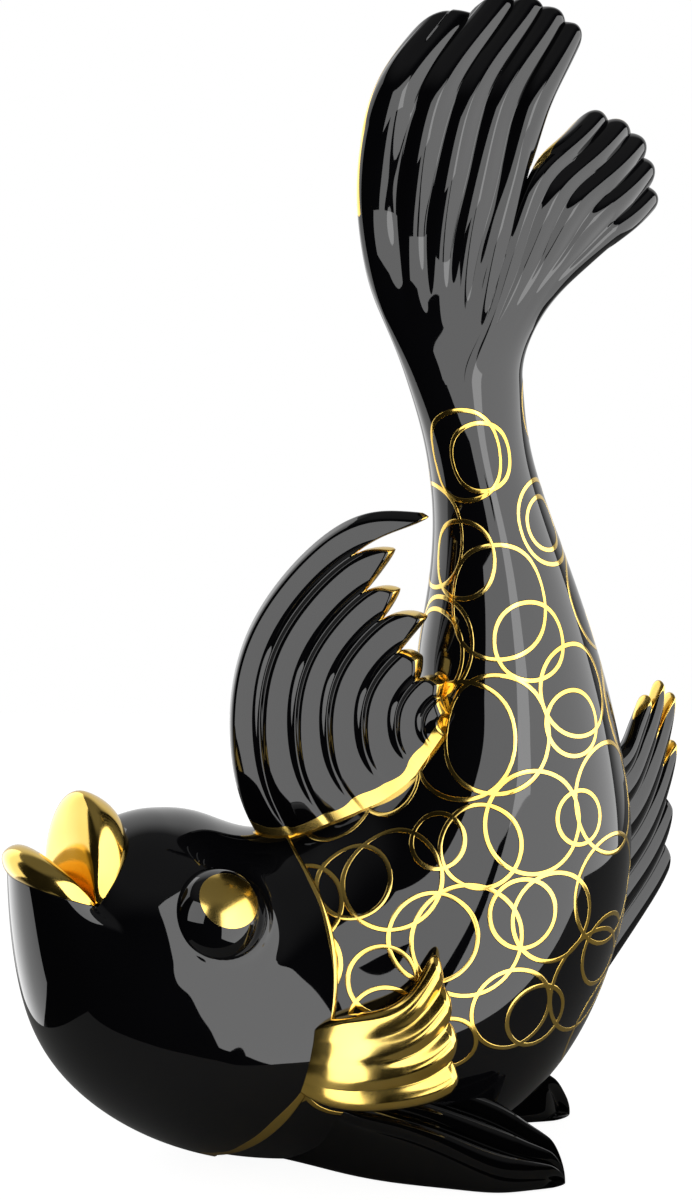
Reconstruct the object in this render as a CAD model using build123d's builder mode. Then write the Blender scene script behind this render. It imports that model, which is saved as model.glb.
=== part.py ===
"""Fish figurine of slip-cast porcelain pieces, luted together, that stands on its chest and paired fins.

The tail points up (+Z), the head looks along -X and a little towards -Y, and Z = 0 is the table.
"""
import math
import os
from typing import NamedTuple

from build123d import *

# Driving dimensions, in millimetres and degrees
shell_wall = 4.5          # cast wall of the head and the trunk
nose_wall = 8.0           # how much thicker the wall is where the hollow ends behind the mouth
gill_step = 1.2           # how far the gill covers stand proud of the trunk
gill_width = 64.5         # oval that the gill covers' rear edge follows
gill_height = 98.0
gill_lean = -18.0         # turn of the oval about Y, its top towards the tail
gill_x = -36.4            # its centre
gill_z = 49.9
vent_diameter = 7.0       # hole that lets the hollow trunk breathe in the kiln
vent_x = -16.0
eye_radius = 14.0         # ball that the eye is cut from
eye_sink = 5.0            # how deep its centre lies under the head's skin
eye_angle = 53.0          # from the crown down to the eye, round the head
mouth_width = 34.0        # from corner to corner
upper_gape = 118.0        # slopes of the open mouth's two faces
lower_gape = 26.0
lip_fullness = 0.35       # how squarely the lips fill out towards the mouth's corners
tail_rays = 5
dorsal_rays = 7
dorsal_turn = -20.5       # the fin's plane, turned about Z
anal_rays = 6
anal_turn = 35.0          # the fin's plane, turned about Z
pectoral_rays = 4
ventral_rays = 4
ventral_ridge = 1.6       # height of the ridges on the ventral fins' tops
ventral_ridge_share = 0.125   # their greatest height, as a share of the top's width
far_fin_swing = -7.0      # how far the right ventral fin is swung about Z

# Ovals are drawn with straight sides; the first corner lies off the oval's axes
oval_sides = 24
hollow_sides = 12
oval_start = 4.0


def oval_face(plane, half_width, half_height, sides=oval_sides):
    """Faceted oval section on a plane."""
    angles = [math.radians(oval_start + 360 * index / sides) for index in range(sides)]
    with BuildSketch(plane) as outline:
        with BuildLine():
            corners = [(half_width * math.cos(angle), half_height * math.sin(angle)) for angle in angles]
            Polyline(*corners, close=True)
        make_face()
    return outline.sketch


class Girth(NamedTuple):
    """One elliptical section across the spine."""

    x: float
    y: float
    z: float
    heading: float
    yaw: float
    half_height: float
    half_width: float

    def plane(self):
        """Plane across the spine, with local y towards the fish's back."""
        heading = math.radians(self.heading)
        yaw = math.radians(self.yaw)
        level = math.cos(heading)
        along = Vector(level * math.cos(yaw), level * math.sin(yaw), math.sin(heading))
        across = Vector(-math.sin(yaw), math.cos(yaw), 0)
        return Plane(origin=(self.x, self.y, self.z), x_dir=across, z_dir=along)

    def face(self, inset=0.0, sides=oval_sides):
        """The section as a face, drawn in by an inset."""
        return oval_face(self.plane(), self.half_width - inset, self.half_height - inset, sides)


# Girths from the mouth back to the root of the tail
girths = (
    Girth(-78, -27, 94, -78, 28, 16.5, 14.5),
    Girth(-75.5, -26.5, 90, -58, 28, 19.5, 17),
    Girth(-73, -24, 81, -41, 26, 28, 25),
    Girth(-66, -18, 67, -27, 22, 39, 35.5),
    Girth(-50, -9, 54, -15, 15, 46, 43),
    Girth(-28, -2, 45.5, -6, 8, 47.5, 44.5),
    Girth(-2, 0, 48.5, 6.5, 0, 51.5, 45),
    Girth(24.5, 0, 58.5, 22, 0, 53, 42),
    Girth(42, 0, 80.5, 36, 0, 48, 38.5),
    Girth(49.5, 0, 107.5, 49.5, 0, 40.5, 33),
    Girth(49.5, 0, 128.5, 58, 0, 34.5, 28.5),
    Girth(47.5, 0, 151, 65, 0, 27.3, 23.5),
    Girth(43, 0, 177, 73, 0, 19.7, 18),
    Girth(37, 0, 202, 82, 0, 15.3, 14.5),
    Girth(32.8, 0, 223, 90, 0, 16.2, 11),
)
snout, cheek, crown, throat, breast, flank = girths[1], girths[3], girths[4], girths[5], girths[6], girths[7]
rump, tail_root = girths[9], girths[-1]


def halfway(index):
    """Girth halfway to the next one, on a smooth curve that follows their neighbours too."""
    rows = zip(girths[index - 1], girths[index], girths[index + 1], girths[index + 2])
    return Girth(*[(9 * (near + far) - before - after) / 16 for before, near, far, after in rows])


# The body's full part has a girth halfway between each two
finer = range(girths.index(snout) + 1, girths.index(rump))
spine = []
for index, girth in enumerate(girths):
    spine.append(girth)
    if index in finer:
        spine.append(halfway(index))

head_girths = spine[:spine.index(flank)]
# The gill covers lie over the trunk from the crown to the breast
overlap_girths = spine[spine.index(crown):spine.index(breast) + 1]
trunk_girths = spine[spine.index(breast) + 1:]
hollow_girths = (crown, throat, breast, flank) + girths[girths.index(flank) + 1:-2]


class FinSection(NamedTuple):
    """Section across a fin: its edge points, the half thickness at each, and the height of its ridges."""

    edge_a: tuple
    edge_b: tuple
    half_a: float
    half_b: float
    ridge: float


# One ridge of a fin: shares of its width, and of its height there
ridge_profile = ((0, 0), (0.3, 1), (0.7, 1))


def fluted_face(section, rays, facing):
    """Closed section of a fin, with one ridge for each ray on both of its faces."""
    start, end = Vector(*section.edge_a), Vector(*section.edge_b)
    width = (end - start).length
    across = (end - start).normalized()
    plane = Plane((start + end) * 0.5, x_dir=across, z_dir=across.cross(Vector(*facing)))

    def point(share, height, side):
        swell = math.sqrt(share * (2 - share))
        half = section.half_a + (section.half_b - section.half_a) * swell
        return ((share - 0.5) * width, side * (half + height * section.ridge))

    stops = [((ray + step) / rays, height) for ray in range(rays) for step, height in ridge_profile]
    stops.append((1, 0))
    front = [point(share, height, 1) for share, height in stops]
    back = [point(share, height, -1) for share, height in reversed(stops)]
    with BuildSketch(plane) as outline:
        with BuildLine():
            Polyline(*front, *back, close=True)
        make_face()
    return outline.sketch


def standing_plane(origin, turn):
    """Upright plane turned about Z, with local x level and local y up."""
    angle = math.radians(turn)
    level = (math.cos(angle), math.sin(angle), 0)
    facing = (math.sin(angle), -math.cos(angle), 0)
    return Plane(origin, x_dir=level, z_dir=facing)


def polar(radius, degrees):
    """Point at a radius and an angle, in a plane's own axes."""
    angle = math.radians(degrees)
    return (radius * math.cos(angle), radius * math.sin(angle))


def on_plane(plane, point):
    """A plane's local point as a point in space."""
    return tuple(plane.from_local_coords(Vector(*point)))


# Head and trunk as full blocks that meet along the gill covers' rear edge
with BuildPart() as gill_drum:
    with BuildSketch(Plane.XZ):
        with Locations((gill_x, gill_z)):
            Ellipse(gill_width / 2, gill_height / 2, rotation=gill_lean)
            # all that lies in front of the oval's middle and of its leaning top belongs to the head
            Rectangle(2 * gill_height, 2 * gill_height, align=(Align.MAX, Align.CENTER))
            Rectangle(gill_height, gill_height, rotation=gill_lean, align=(Align.MAX, Align.MIN))
    extrude(amount=2 * breast.half_width, both=True)

# Mouth frame: x forward along the head's midplane, y up, z across to the far side
mouth_corner = (-76.6, -27.5, 83)
mouth_yaw = math.radians(snout.yaw)
mouth_plane = Plane(
    mouth_corner,
    x_dir=(-math.cos(mouth_yaw), -math.sin(mouth_yaw), 0),
    z_dir=(-math.sin(mouth_yaw), math.cos(mouth_yaw), 0),
)
gape_reach = 45.0         # how far the gape's faces run, well past the lips

with BuildPart() as head_block:
    loft([girth.face() for girth in head_girths], ruled=True)
    add(gill_drum.part, mode=Mode.INTERSECT)
    split(bisect_by=Plane.XY, keep=Keep.TOP)
    with BuildSketch(mouth_plane):
        with BuildLine():
            Polyline((0, 0), polar(gape_reach, lower_gape), polar(gape_reach, upper_gape), close=True)
        make_face()
    extrude(amount=mouth_width, both=True, mode=Mode.SUBTRACT)

with BuildPart() as trunk_block:
    covered = [girth.face(gill_step) for girth in overlap_girths]
    loft(covered + [girth.face() for girth in trunk_girths], ruled=True)
    add(gill_drum.part, mode=Mode.SUBTRACT)
    split(bisect_by=Plane.XY, keep=Keep.TOP)

# The hollow that the slip leaves, closed in front by a thick nose and behind below the tail
hollow_inset = shell_wall + gill_step
with BuildPart() as hollow:
    nose = cheek.face(hollow_inset + nose_wall, hollow_sides)
    loft([nose] + [girth.face(hollow_inset, hollow_sides) for girth in hollow_girths], ruled=True)

with BuildPart() as head_shell:
    add(head_block.part)
    add(hollow.part, mode=Mode.SUBTRACT)
head_shell.part.label = "head_shell"

with BuildPart() as trunk_shell:
    add(trunk_block.part)
    add(hollow.part, mode=Mode.SUBTRACT)
    with Locations((vent_x, 0, 0)):
        Cylinder(vent_diameter / 2, 4 * shell_wall, mode=Mode.SUBTRACT)
trunk_shell.part.label = "trunk_shell"


# Lips: outlines at the mouth's middle, from the rim over the swelling outer face to the root, as x and y
upper_lip_outline = ((-2.4, 27.4), (-7, 26.6), (-12.2, 22.6), (-14.5, 16.5))
lower_lip_outline = ((18.3, 11.9), (19.4, 9.4), (16.9, 7.2))
# Places of the sections across the mouth, as shares of its half width
lip_shares = (-0.95, -0.7, -0.35, 0, 0.35, 0.7, 0.95)


def lip_faces(lip_outline):
    """Sections of a lip from corner to corner, each with its foot on the line between the mouth's corners."""
    faces = []
    for share in lip_shares:
        lift = (1 - share ** 2) ** lip_fullness
        origin = on_plane(mouth_plane, (0, 0, share * mouth_width / 2))
        with BuildSketch(Plane(origin, x_dir=mouth_plane.x_dir, z_dir=mouth_plane.z_dir)) as outline:
            with BuildLine():
                Polyline((0, 0), *[(x * lift, y * lift) for x, y in lip_outline], close=True)
            make_face()
        faces.append(outline.sketch)
    return faces


with BuildPart() as upper_lip:
    loft(lip_faces(upper_lip_outline), ruled=True)
    add(head_block.part, mode=Mode.SUBTRACT)
upper_lip.part.label = "upper_lip"

with BuildPart() as lower_lip:
    loft(lip_faces(lower_lip_outline), ruled=True)
    add(head_block.part, mode=Mode.SUBTRACT)
lower_lip.part.label = "lower_lip"

# Eyes: domes on the head's skin, one on each side of its midplane
eye_rings = (-10, 15, 38, 60, 80)     # latitudes where the dome's profile turns
eye_lean = math.radians(eye_angle)


def eye_plane(side):
    """Plane through an eyeball's axis, which is local y; the left eye is side -1, the right eye 1."""
    skull = crown.plane()
    outward = skull.x_dir * (side * math.sin(eye_lean)) + skull.y_dir * math.cos(eye_lean)
    skin = (side * math.sin(eye_lean) * crown.half_width, math.cos(eye_lean) * crown.half_height, 0)
    centre = Vector(*on_plane(skull, skin)) - outward * eye_sink
    return Plane(centre, x_dir=skull.z_dir, z_dir=skull.z_dir.cross(outward))


def eye_profile(plane):
    """Half section of an eyeball, beside its axis."""
    dome = [polar(eye_radius, ring) for ring in eye_rings]
    with BuildSketch(plane) as outline:
        with BuildLine():
            Polyline((0, dome[0][1]), *dome, (0, dome[-1][1]), close=True)
        make_face()
    return outline.sketch


left_eye_plane = eye_plane(-1)
with BuildPart() as left_eye:
    revolve(eye_profile(left_eye_plane), axis=Axis(left_eye_plane.origin, left_eye_plane.y_dir))
    add(head_block.part, mode=Mode.SUBTRACT)
left_eye.part.label = "left_eye"

right_eye_plane = eye_plane(1)
with BuildPart() as right_eye:
    revolve(eye_profile(right_eye_plane), axis=Axis(right_eye_plane.origin, right_eye_plane.y_dir))
    add(head_block.part, mode=Mode.SUBTRACT)
right_eye.part.label = "right_eye"

# Tail: two fluted lobes that stand on the end of the stem
to_left = (0, -1, 0)
fin_reach = 40.0          # depth of the cutters that trim a fin to its outline
# Line where the two lobes meet, from the stem's end up to the notch between them
lobe_seam = ((tail_root.x, 0, tail_root.z), (37, 0, 237), (41.5, 0, 251), (45.5, 0, 265), (50, 0, 279))
upper_lobe_sections = (
    FinSection((16.8, 0, tail_root.z), lobe_seam[0], 0.6, 10.6, 0.2),
    FinSection((11.2, 0, 237), lobe_seam[1], 1.6, 8.8, 0.6),
    FinSection((6.2, 0, 250), lobe_seam[2], 2, 6.8, 1.2),
    FinSection((3.4, 1, 266), lobe_seam[3], 2.1, 4.6, 1.6),
    FinSection((3.2, 2, 281), lobe_seam[4], 2, 3, 1.8),
    FinSection((6, 4, 297), (54.5, 1, 295), 1.8, 2.2, 1.8),
    FinSection((13.5, 6, 311.5), (59.5, 3, 306), 1.6, 1.8, 1.6),
    FinSection((27, 9, 326), (65.5, 6, 317), 1.4, 1.6, 1.4),
    FinSection((36, 12, 338), (71, 9, 328), 1.4, 1.4, 1.4),
)
upper_lobe_tips = ((24, 318), (33, 325), (42, 325.5), (51, 322), (58, 315.5))
lower_lobe_sections = (
    FinSection((48.8, 0, tail_root.z), lobe_seam[0], 0.6, 10.6, 0.2),
    FinSection((52.5, 0, 237), lobe_seam[1], 1.6, 8.8, 0.6),
    FinSection((59.5, 1, 247), lobe_seam[2], 2, 6.8, 1.2),
    FinSection((67, 2, 254), lobe_seam[3], 2, 4.6, 1.5),
    FinSection((75.5, 4, 261), (51, 1, 280.5), 1.8, 3, 1.6),
    FinSection((82.5, 6, 266), (60, 5, 289), 1.6, 1.8, 1.6),
    FinSection((92, 9, 274), (70, 8, 298), 1.4, 1.4, 1.4),
)
lower_lobe_tips = ((82.5, 268.5), (83.5, 275), (81, 282), (75, 287.5), (67, 290.5))
lobe_tip_radius = 4.5
lobe_margin = 3.0         # how far past its tips a lobe's trimming face reaches, in widths of the row of tips
lobe_drop = 20.0          # how far its shoulders lie below the tips


def lobe_outline(tips):
    """Trimming face of a tail lobe: all that lies below its round tips."""
    first, last = tips[0], tips[-1]
    reach = lobe_margin * (last[0] - first[0])
    foot = tail_root.z - lobe_drop
    with BuildSketch(Plane.XZ) as outline:
        with BuildLine():
            shoulder_first = (first[0] - reach, first[1] - lobe_drop)
            shoulder_last = (last[0] + reach, last[1] - lobe_drop)
            foot_first = (shoulder_first[0], foot)
            foot_last = (shoulder_last[0], foot)
            Polyline(foot_first, shoulder_first, *tips, shoulder_last, foot_last, close=True)
        make_face()
        with Locations(*tips):
            Circle(lobe_tip_radius)
    return outline.sketch


with BuildPart() as tail_upper_lobe:
    loft([fluted_face(section, tail_rays, to_left) for section in upper_lobe_sections], ruled=True)
    extrude(lobe_outline(upper_lobe_tips), amount=fin_reach, both=True, mode=Mode.INTERSECT)
tail_upper_lobe.part.label = "tail_upper_lobe"

with BuildPart() as tail_lower_lobe:
    loft([fluted_face(section, tail_rays, to_left) for section in lower_lobe_sections], ruled=True)
    extrude(lobe_outline(lower_lobe_tips), amount=fin_reach, both=True, mode=Mode.INTERSECT)
    add(tail_upper_lobe.part, mode=Mode.SUBTRACT)
tail_lower_lobe.part.label = "tail_lower_lobe"

# Dorsal fin: rays on circles about a pivot beside the stem
dorsal_pivot = (29.7, -22.5, 130)
dorsal_plane = standing_plane(dorsal_pivot, dorsal_turn)
# Angle of each section, and radius of the leading edge there
dorsal_sweep = (
    (236, 70), (212, 69.5), (192, 68), (175, 66), (158, 64.5), (141, 64), (124, 63.5), (107, 63), (90, 63),
)
dorsal_core = 3.0         # radius where the innermost ray ends
dorsal_edge = 1.5         # half thickness along the leading edge
dorsal_heart = 2.4        # and at the pivot
dorsal_ridge = 1.6
# Radius and angle of the tips and notches, then of corners outside the fin
dorsal_outline = (
    (63, 98), (54, 123), (50.5, 111), (44, 126), (39.5, 115), (35, 126.5), (30.5, 105), (25, 129),
    (20, 119), (15.6, 131), (11.5, 104), (8, 85), (80, 280), (90, 230), (90, 190), (90, 150), (90, 115),
)


def dorsal_section(degrees, radius):
    """Section of the dorsal fin along one radius."""
    edge = on_plane(dorsal_plane, (*polar(radius, degrees), 0))
    core = on_plane(dorsal_plane, (*polar(dorsal_core, degrees), 0))
    return FinSection(edge, core, dorsal_edge, dorsal_heart, dorsal_ridge)


with BuildPart() as dorsal_fin:
    dorsal_sections = [dorsal_section(*stop) for stop in dorsal_sweep]
    loft([fluted_face(section, dorsal_rays, dorsal_plane.z_dir) for section in dorsal_sections], ruled=True)
    with BuildSketch(dorsal_plane):
        with BuildLine():
            Polyline(*[polar(*corner) for corner in dorsal_outline], close=True)
        make_face()
    extrude(amount=fin_reach, both=True, mode=Mode.INTERSECT)
    add(trunk_block.part, mode=Mode.SUBTRACT)
    add(head_block.part, mode=Mode.SUBTRACT)
dorsal_fin.part.label = "dorsal_fin"

# Anal fin: rays that leave the belly side of the stem and curve upwards
anal_foot = (49, 0, 0)
anal_plane = standing_plane(anal_foot, anal_turn)
# Lower edge, upper edge and half thickness at each section, in that plane
anal_stops = (
    ((29, 45), (29, 109), 2.4),
    ((43.8, 60.7), (36.5, 112.4), 2),
    ((53.9, 74), (40, 118.7), 1.6),
    ((60.9, 92.4), (42.8, 124.8), 1.4),
    ((66, 111), (46.3, 135), 1.2),
)
anal_ridge = 1.4
anal_outline = (
    (25, 45), (35.9, 53), (46.4, 62), (52.5, 69.7), (53.5, 74.4), (57.7, 85), (57.9, 88.4), (61.5, 99.8),
    (60, 103.9), (55.6, 99.8), (55.2, 123), (51.1, 131), (48.2, 128.7), (48, 118.4), (45.7, 123.5),
    (43.2, 125.9), (41, 123.9), (38.3, 114.2), (25, 114),
)


def anal_section(lower, upper, half):
    """Section of the anal fin from its lower to its upper edge."""
    lower_edge = on_plane(anal_plane, (*lower, 0))
    upper_edge = on_plane(anal_plane, (*upper, 0))
    return FinSection(lower_edge, upper_edge, half, half, anal_ridge)


with BuildPart() as anal_fin:
    anal_sections = [anal_section(*stop) for stop in anal_stops]
    loft([fluted_face(section, anal_rays, anal_plane.z_dir) for section in anal_sections], ruled=True)
    with BuildSketch(anal_plane):
        with BuildLine():
            Polyline(*anal_outline, close=True)
        make_face()
    extrude(amount=fin_reach, both=True, mode=Mode.INTERSECT)
    add(trunk_block.part, mode=Mode.SUBTRACT)
anal_fin.part.label = "anal_fin"

# Pectoral fins: cupped fans behind the gill covers, lower and upper edge at each section
pectoral_sections = (
    FinSection((-8.4, -38, 32), (-7.8, -38, 48.3), 4, 4, 0.8),
    FinSection((-0.3, -46, 29.1), (1.1, -46, 51.9), 3.2, 3.2, 1.3),
    FinSection((13.5, -51, 27.5), (11.6, -51, 56.4), 2.2, 2.2, 1.8),
    FinSection((27.3, -52, 30.8), (18.9, -52, 63.3), 1.7, 1.7, 2),
    FinSection((35.6, -51, 37.1), (23.6, -51, 71.6), 1.5, 1.5, 2),
    FinSection((40.3, -50, 44), (27.2, -50, 78.4), 1.3, 1.3, 1.8),
)
pectoral_tips = ((28.5, 36.5), (30.6, 45.5), (30, 56), (23.5, 67))
pectoral_tip_radius = 4.8
# Corners of its trimming face below and above the tips, well outside the fin
pectoral_corners_below = ((-20, 20), (24, 20))
pectoral_corners_above = ((14, 75), (-20, 75))

with BuildPart() as left_pectoral_fin:
    loft([fluted_face(section, pectoral_rays, to_left) for section in pectoral_sections], ruled=True)
    with BuildSketch(Plane.XZ):
        with BuildLine():
            Polyline(*pectoral_corners_below, *pectoral_tips, *pectoral_corners_above, close=True)
        make_face()
        with Locations(*pectoral_tips):
            Circle(pectoral_tip_radius)
    extrude(amount=2 * fin_reach, both=True, mode=Mode.INTERSECT)
    add(trunk_block.part, mode=Mode.SUBTRACT)
    add(head_block.part, mode=Mode.SUBTRACT)
left_pectoral_fin.part.label = "left_pectoral_fin"

with BuildPart() as right_pectoral_fin:
    add(mirror(left_pectoral_fin.part, about=Plane.XZ, mode=Mode.PRIVATE))
    add(trunk_block.part, mode=Mode.SUBTRACT)
    add(head_block.part, mode=Mode.SUBTRACT)
right_pectoral_fin.part.label = "right_pectoral_fin"


class FootSection(NamedTuple):
    """Section of a ventral fin at one x: its flat sole, outer edge and inner crest, as y and z."""

    x: float
    sole_outer: float
    outer: tuple
    crest: tuple
    sole_inner: float


ventral_sections = (
    FootSection(-14, -18, (-31, 21), (-21, 31), -6),
    FootSection(1, -29.5, (-36.5, 18.5), (-25, 31), -11),
    FootSection(15, -37, (-40, 15.5), (-27, 30), -14),
    FootSection(29, -41.7, (-43.6, 11), (-26, 26.5), -17),
    FootSection(41, -45, (-45.5, 6.3), (-25, 22), -20),
    FootSection(50, -43, (-43.5, 3), (-26.5, 15.5), -23),
    FootSection(57, -39, (-39.3, 1.8), (-29.5, 9), -27.5),
    FootSection(61.5, -37, (-37, 1), (-32, 3.5), -31),
)


def foot_face(foot):
    """Closed section of a ventral fin, flat below and ridged along its sloping top."""
    outer, crest = Vector(*foot.outer), Vector(*foot.crest)
    slope = crest - outer
    lift = Vector(-slope.Y, slope.X).normalized() * min(ventral_ridge, slope.length * ventral_ridge_share)
    top = [
        outer + slope * ((ray + step) / ventral_rays) + lift * height
        for ray in range(ventral_rays)
        for step, height in ridge_profile
    ]
    with BuildSketch(Plane.YZ.offset(foot.x)) as outline:
        with BuildLine():
            Polyline((foot.sole_outer, 0), *top, foot.crest, (foot.sole_inner, 0), close=True)
        make_face()
    return outline.sketch


with BuildPart() as ventral_blank:
    loft([foot_face(foot) for foot in ventral_sections], ruled=True)

with BuildPart() as left_ventral_fin:
    add(ventral_blank.part)
    add(trunk_block.part, mode=Mode.SUBTRACT)
    add(head_block.part, mode=Mode.SUBTRACT)
    add(left_pectoral_fin.part, mode=Mode.SUBTRACT)
left_ventral_fin.part.label = "left_ventral_fin"

with BuildPart() as right_ventral_fin:
    add(mirror(ventral_blank.part, about=Plane.XZ, mode=Mode.PRIVATE).rotate(Axis.Z, far_fin_swing))
    add(trunk_block.part, mode=Mode.SUBTRACT)
    add(head_block.part, mode=Mode.SUBTRACT)
    add(right_pectoral_fin.part, mode=Mode.SUBTRACT)
right_ventral_fin.part.label = "right_ventral_fin"

os.makedirs("parts", exist_ok=True)
export_step(head_shell.part, "parts/head_shell.step")
export_step(trunk_shell.part, "parts/trunk_shell.step")
export_step(upper_lip.part, "parts/upper_lip.step")
export_step(lower_lip.part, "parts/lower_lip.step")
export_step(left_eye.part, "parts/left_eye.step")
export_step(right_eye.part, "parts/right_eye.step")
export_step(tail_upper_lobe.part, "parts/tail_upper_lobe.step")
export_step(tail_lower_lobe.part, "parts/tail_lower_lobe.step")
export_step(dorsal_fin.part, "parts/dorsal_fin.step")
export_step(anal_fin.part, "parts/anal_fin.step")
export_step(left_pectoral_fin.part, "parts/left_pectoral_fin.step")
export_step(right_pectoral_fin.part, "parts/right_pectoral_fin.step")
export_step(left_ventral_fin.part, "parts/left_ventral_fin.step")
export_step(right_ventral_fin.part, "parts/right_ventral_fin.step")
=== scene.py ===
"""Fish figurine in black glazed porcelain with fired gold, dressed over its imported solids."""

import logging
import math
from functools import partial
from dataclasses import dataclass, field
from enum import Enum
from typing import Callable, NamedTuple, Sequence

import bpy
import bmesh
import numpy as np
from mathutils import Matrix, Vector
from mathutils.bvhtree import BVHTree


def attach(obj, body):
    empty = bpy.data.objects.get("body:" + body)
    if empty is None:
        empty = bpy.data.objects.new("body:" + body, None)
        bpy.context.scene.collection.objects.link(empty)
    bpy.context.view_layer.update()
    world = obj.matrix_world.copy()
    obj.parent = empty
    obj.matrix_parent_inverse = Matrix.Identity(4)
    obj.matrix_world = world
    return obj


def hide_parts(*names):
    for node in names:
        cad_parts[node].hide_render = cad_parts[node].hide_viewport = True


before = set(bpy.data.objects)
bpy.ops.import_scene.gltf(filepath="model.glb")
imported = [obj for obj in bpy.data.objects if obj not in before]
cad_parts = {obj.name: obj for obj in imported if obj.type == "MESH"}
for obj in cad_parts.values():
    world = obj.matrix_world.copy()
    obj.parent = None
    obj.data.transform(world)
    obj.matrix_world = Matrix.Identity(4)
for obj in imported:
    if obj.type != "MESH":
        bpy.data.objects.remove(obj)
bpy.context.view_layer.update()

logging.basicConfig(level=logging.INFO, format="%(levelname)s %(message)s")
log = logging.getLogger("fish")

MM = 0.001
GILT = "gilt"          # attribute: how far a point lies inside the gilded area, in millimetres
BARE = -1.0            # its value on plain glaze
FULL = 5.0             # its value well inside a gilded area
Array = np.ndarray


class Slot(Enum):
    """The record's material slots."""

    GLAZE = "black_glaze"
    GOLD = "bright_gold"


class Flute(Enum):
    """How the rays of a fin are modelled across its width."""

    SOFT = "slow waves"
    BROAD = "flat rays with narrow grooves"
    ROUND = "half-round rays"


class Side(Enum):
    """The fish's left side faces -Y, its right side +Y."""

    LEFT = -1
    RIGHT = 1


# Small tools for numbers

def spline(table: Array, at: Array, start_slope: Array | None = None) -> Array:
    """Natural cubic spline through the rows of a table, read at fractional row numbers.

    Args:
        table: one row of values for each knot, at 0, 1, 2 and so on.
        at: where to read it.
        start_slope: slope at the first knot, where it isn't left free.

    Returns:
        Interpolated rows.
    """
    knots = np.asarray(table, float)
    count = len(knots)
    system = np.zeros((count, count))
    right = np.zeros_like(knots)
    for row in range(1, count - 1):
        system[row, row - 1: row + 2] = (1, 4, 1)
        right[row] = 6 * (knots[row - 1] - 2 * knots[row] + knots[row + 1])
    system[0, 0] = system[-1, -1] = 1
    if start_slope is not None:
        system[0, :2] = (2, 1)
        right[0] = 6 * (knots[1] - knots[0] - np.asarray(start_slope, float))
    bend = np.linalg.solve(system, right)
    at = np.asarray(at, float)
    low = np.clip(np.floor(at).astype(int), 0, count - 2)
    share = (at - low)[..., None]
    rest = 1 - share
    return (
        knots[low] * rest + knots[low + 1] * share
        + ((rest ** 3 - rest) * bend[low] + (share ** 3 - share) * bend[low + 1]) / 6
    )


def unit(vectors: Array) -> Array:
    """Vectors scaled to length one."""
    return vectors / np.maximum(np.linalg.norm(vectors, axis=-1, keepdims=True), 1e-12)


def smooth(low: float, high: float, value: Array) -> Array:
    """Smooth step from 0 at low to 1 at high."""
    share = np.clip((value - low) / (high - low), 0, 1)
    return share * share * (3 - 2 * share)


def waver(at: Array, wavelength: float, seed: int) -> Array:
    """Slow hand wobble between about -1 and 1 along a line.

    Args:
        at: distances along the line.
        wavelength: its longest wave, in the same unit.
        seed: picks the phases.

    Returns:
        The wobble at each distance.
    """
    phases = np.random.default_rng(seed).uniform(0, 2 * math.pi, 3)
    waves = zip((1, 1.83, 3.1), (1, 0.6, 0.35), phases)      # how much shorter, how high, where it starts
    total = sum(high * np.sin(2 * math.pi * at * ratio / wavelength + phase) for ratio, high, phase in waves)
    return total / 1.6


def hump(value: Array, middle: float, width: float) -> Array:
    """Bell curve of height one about a middle."""
    return np.exp(-((value - middle) / width) ** 2)


# Small tools for meshes

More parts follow.
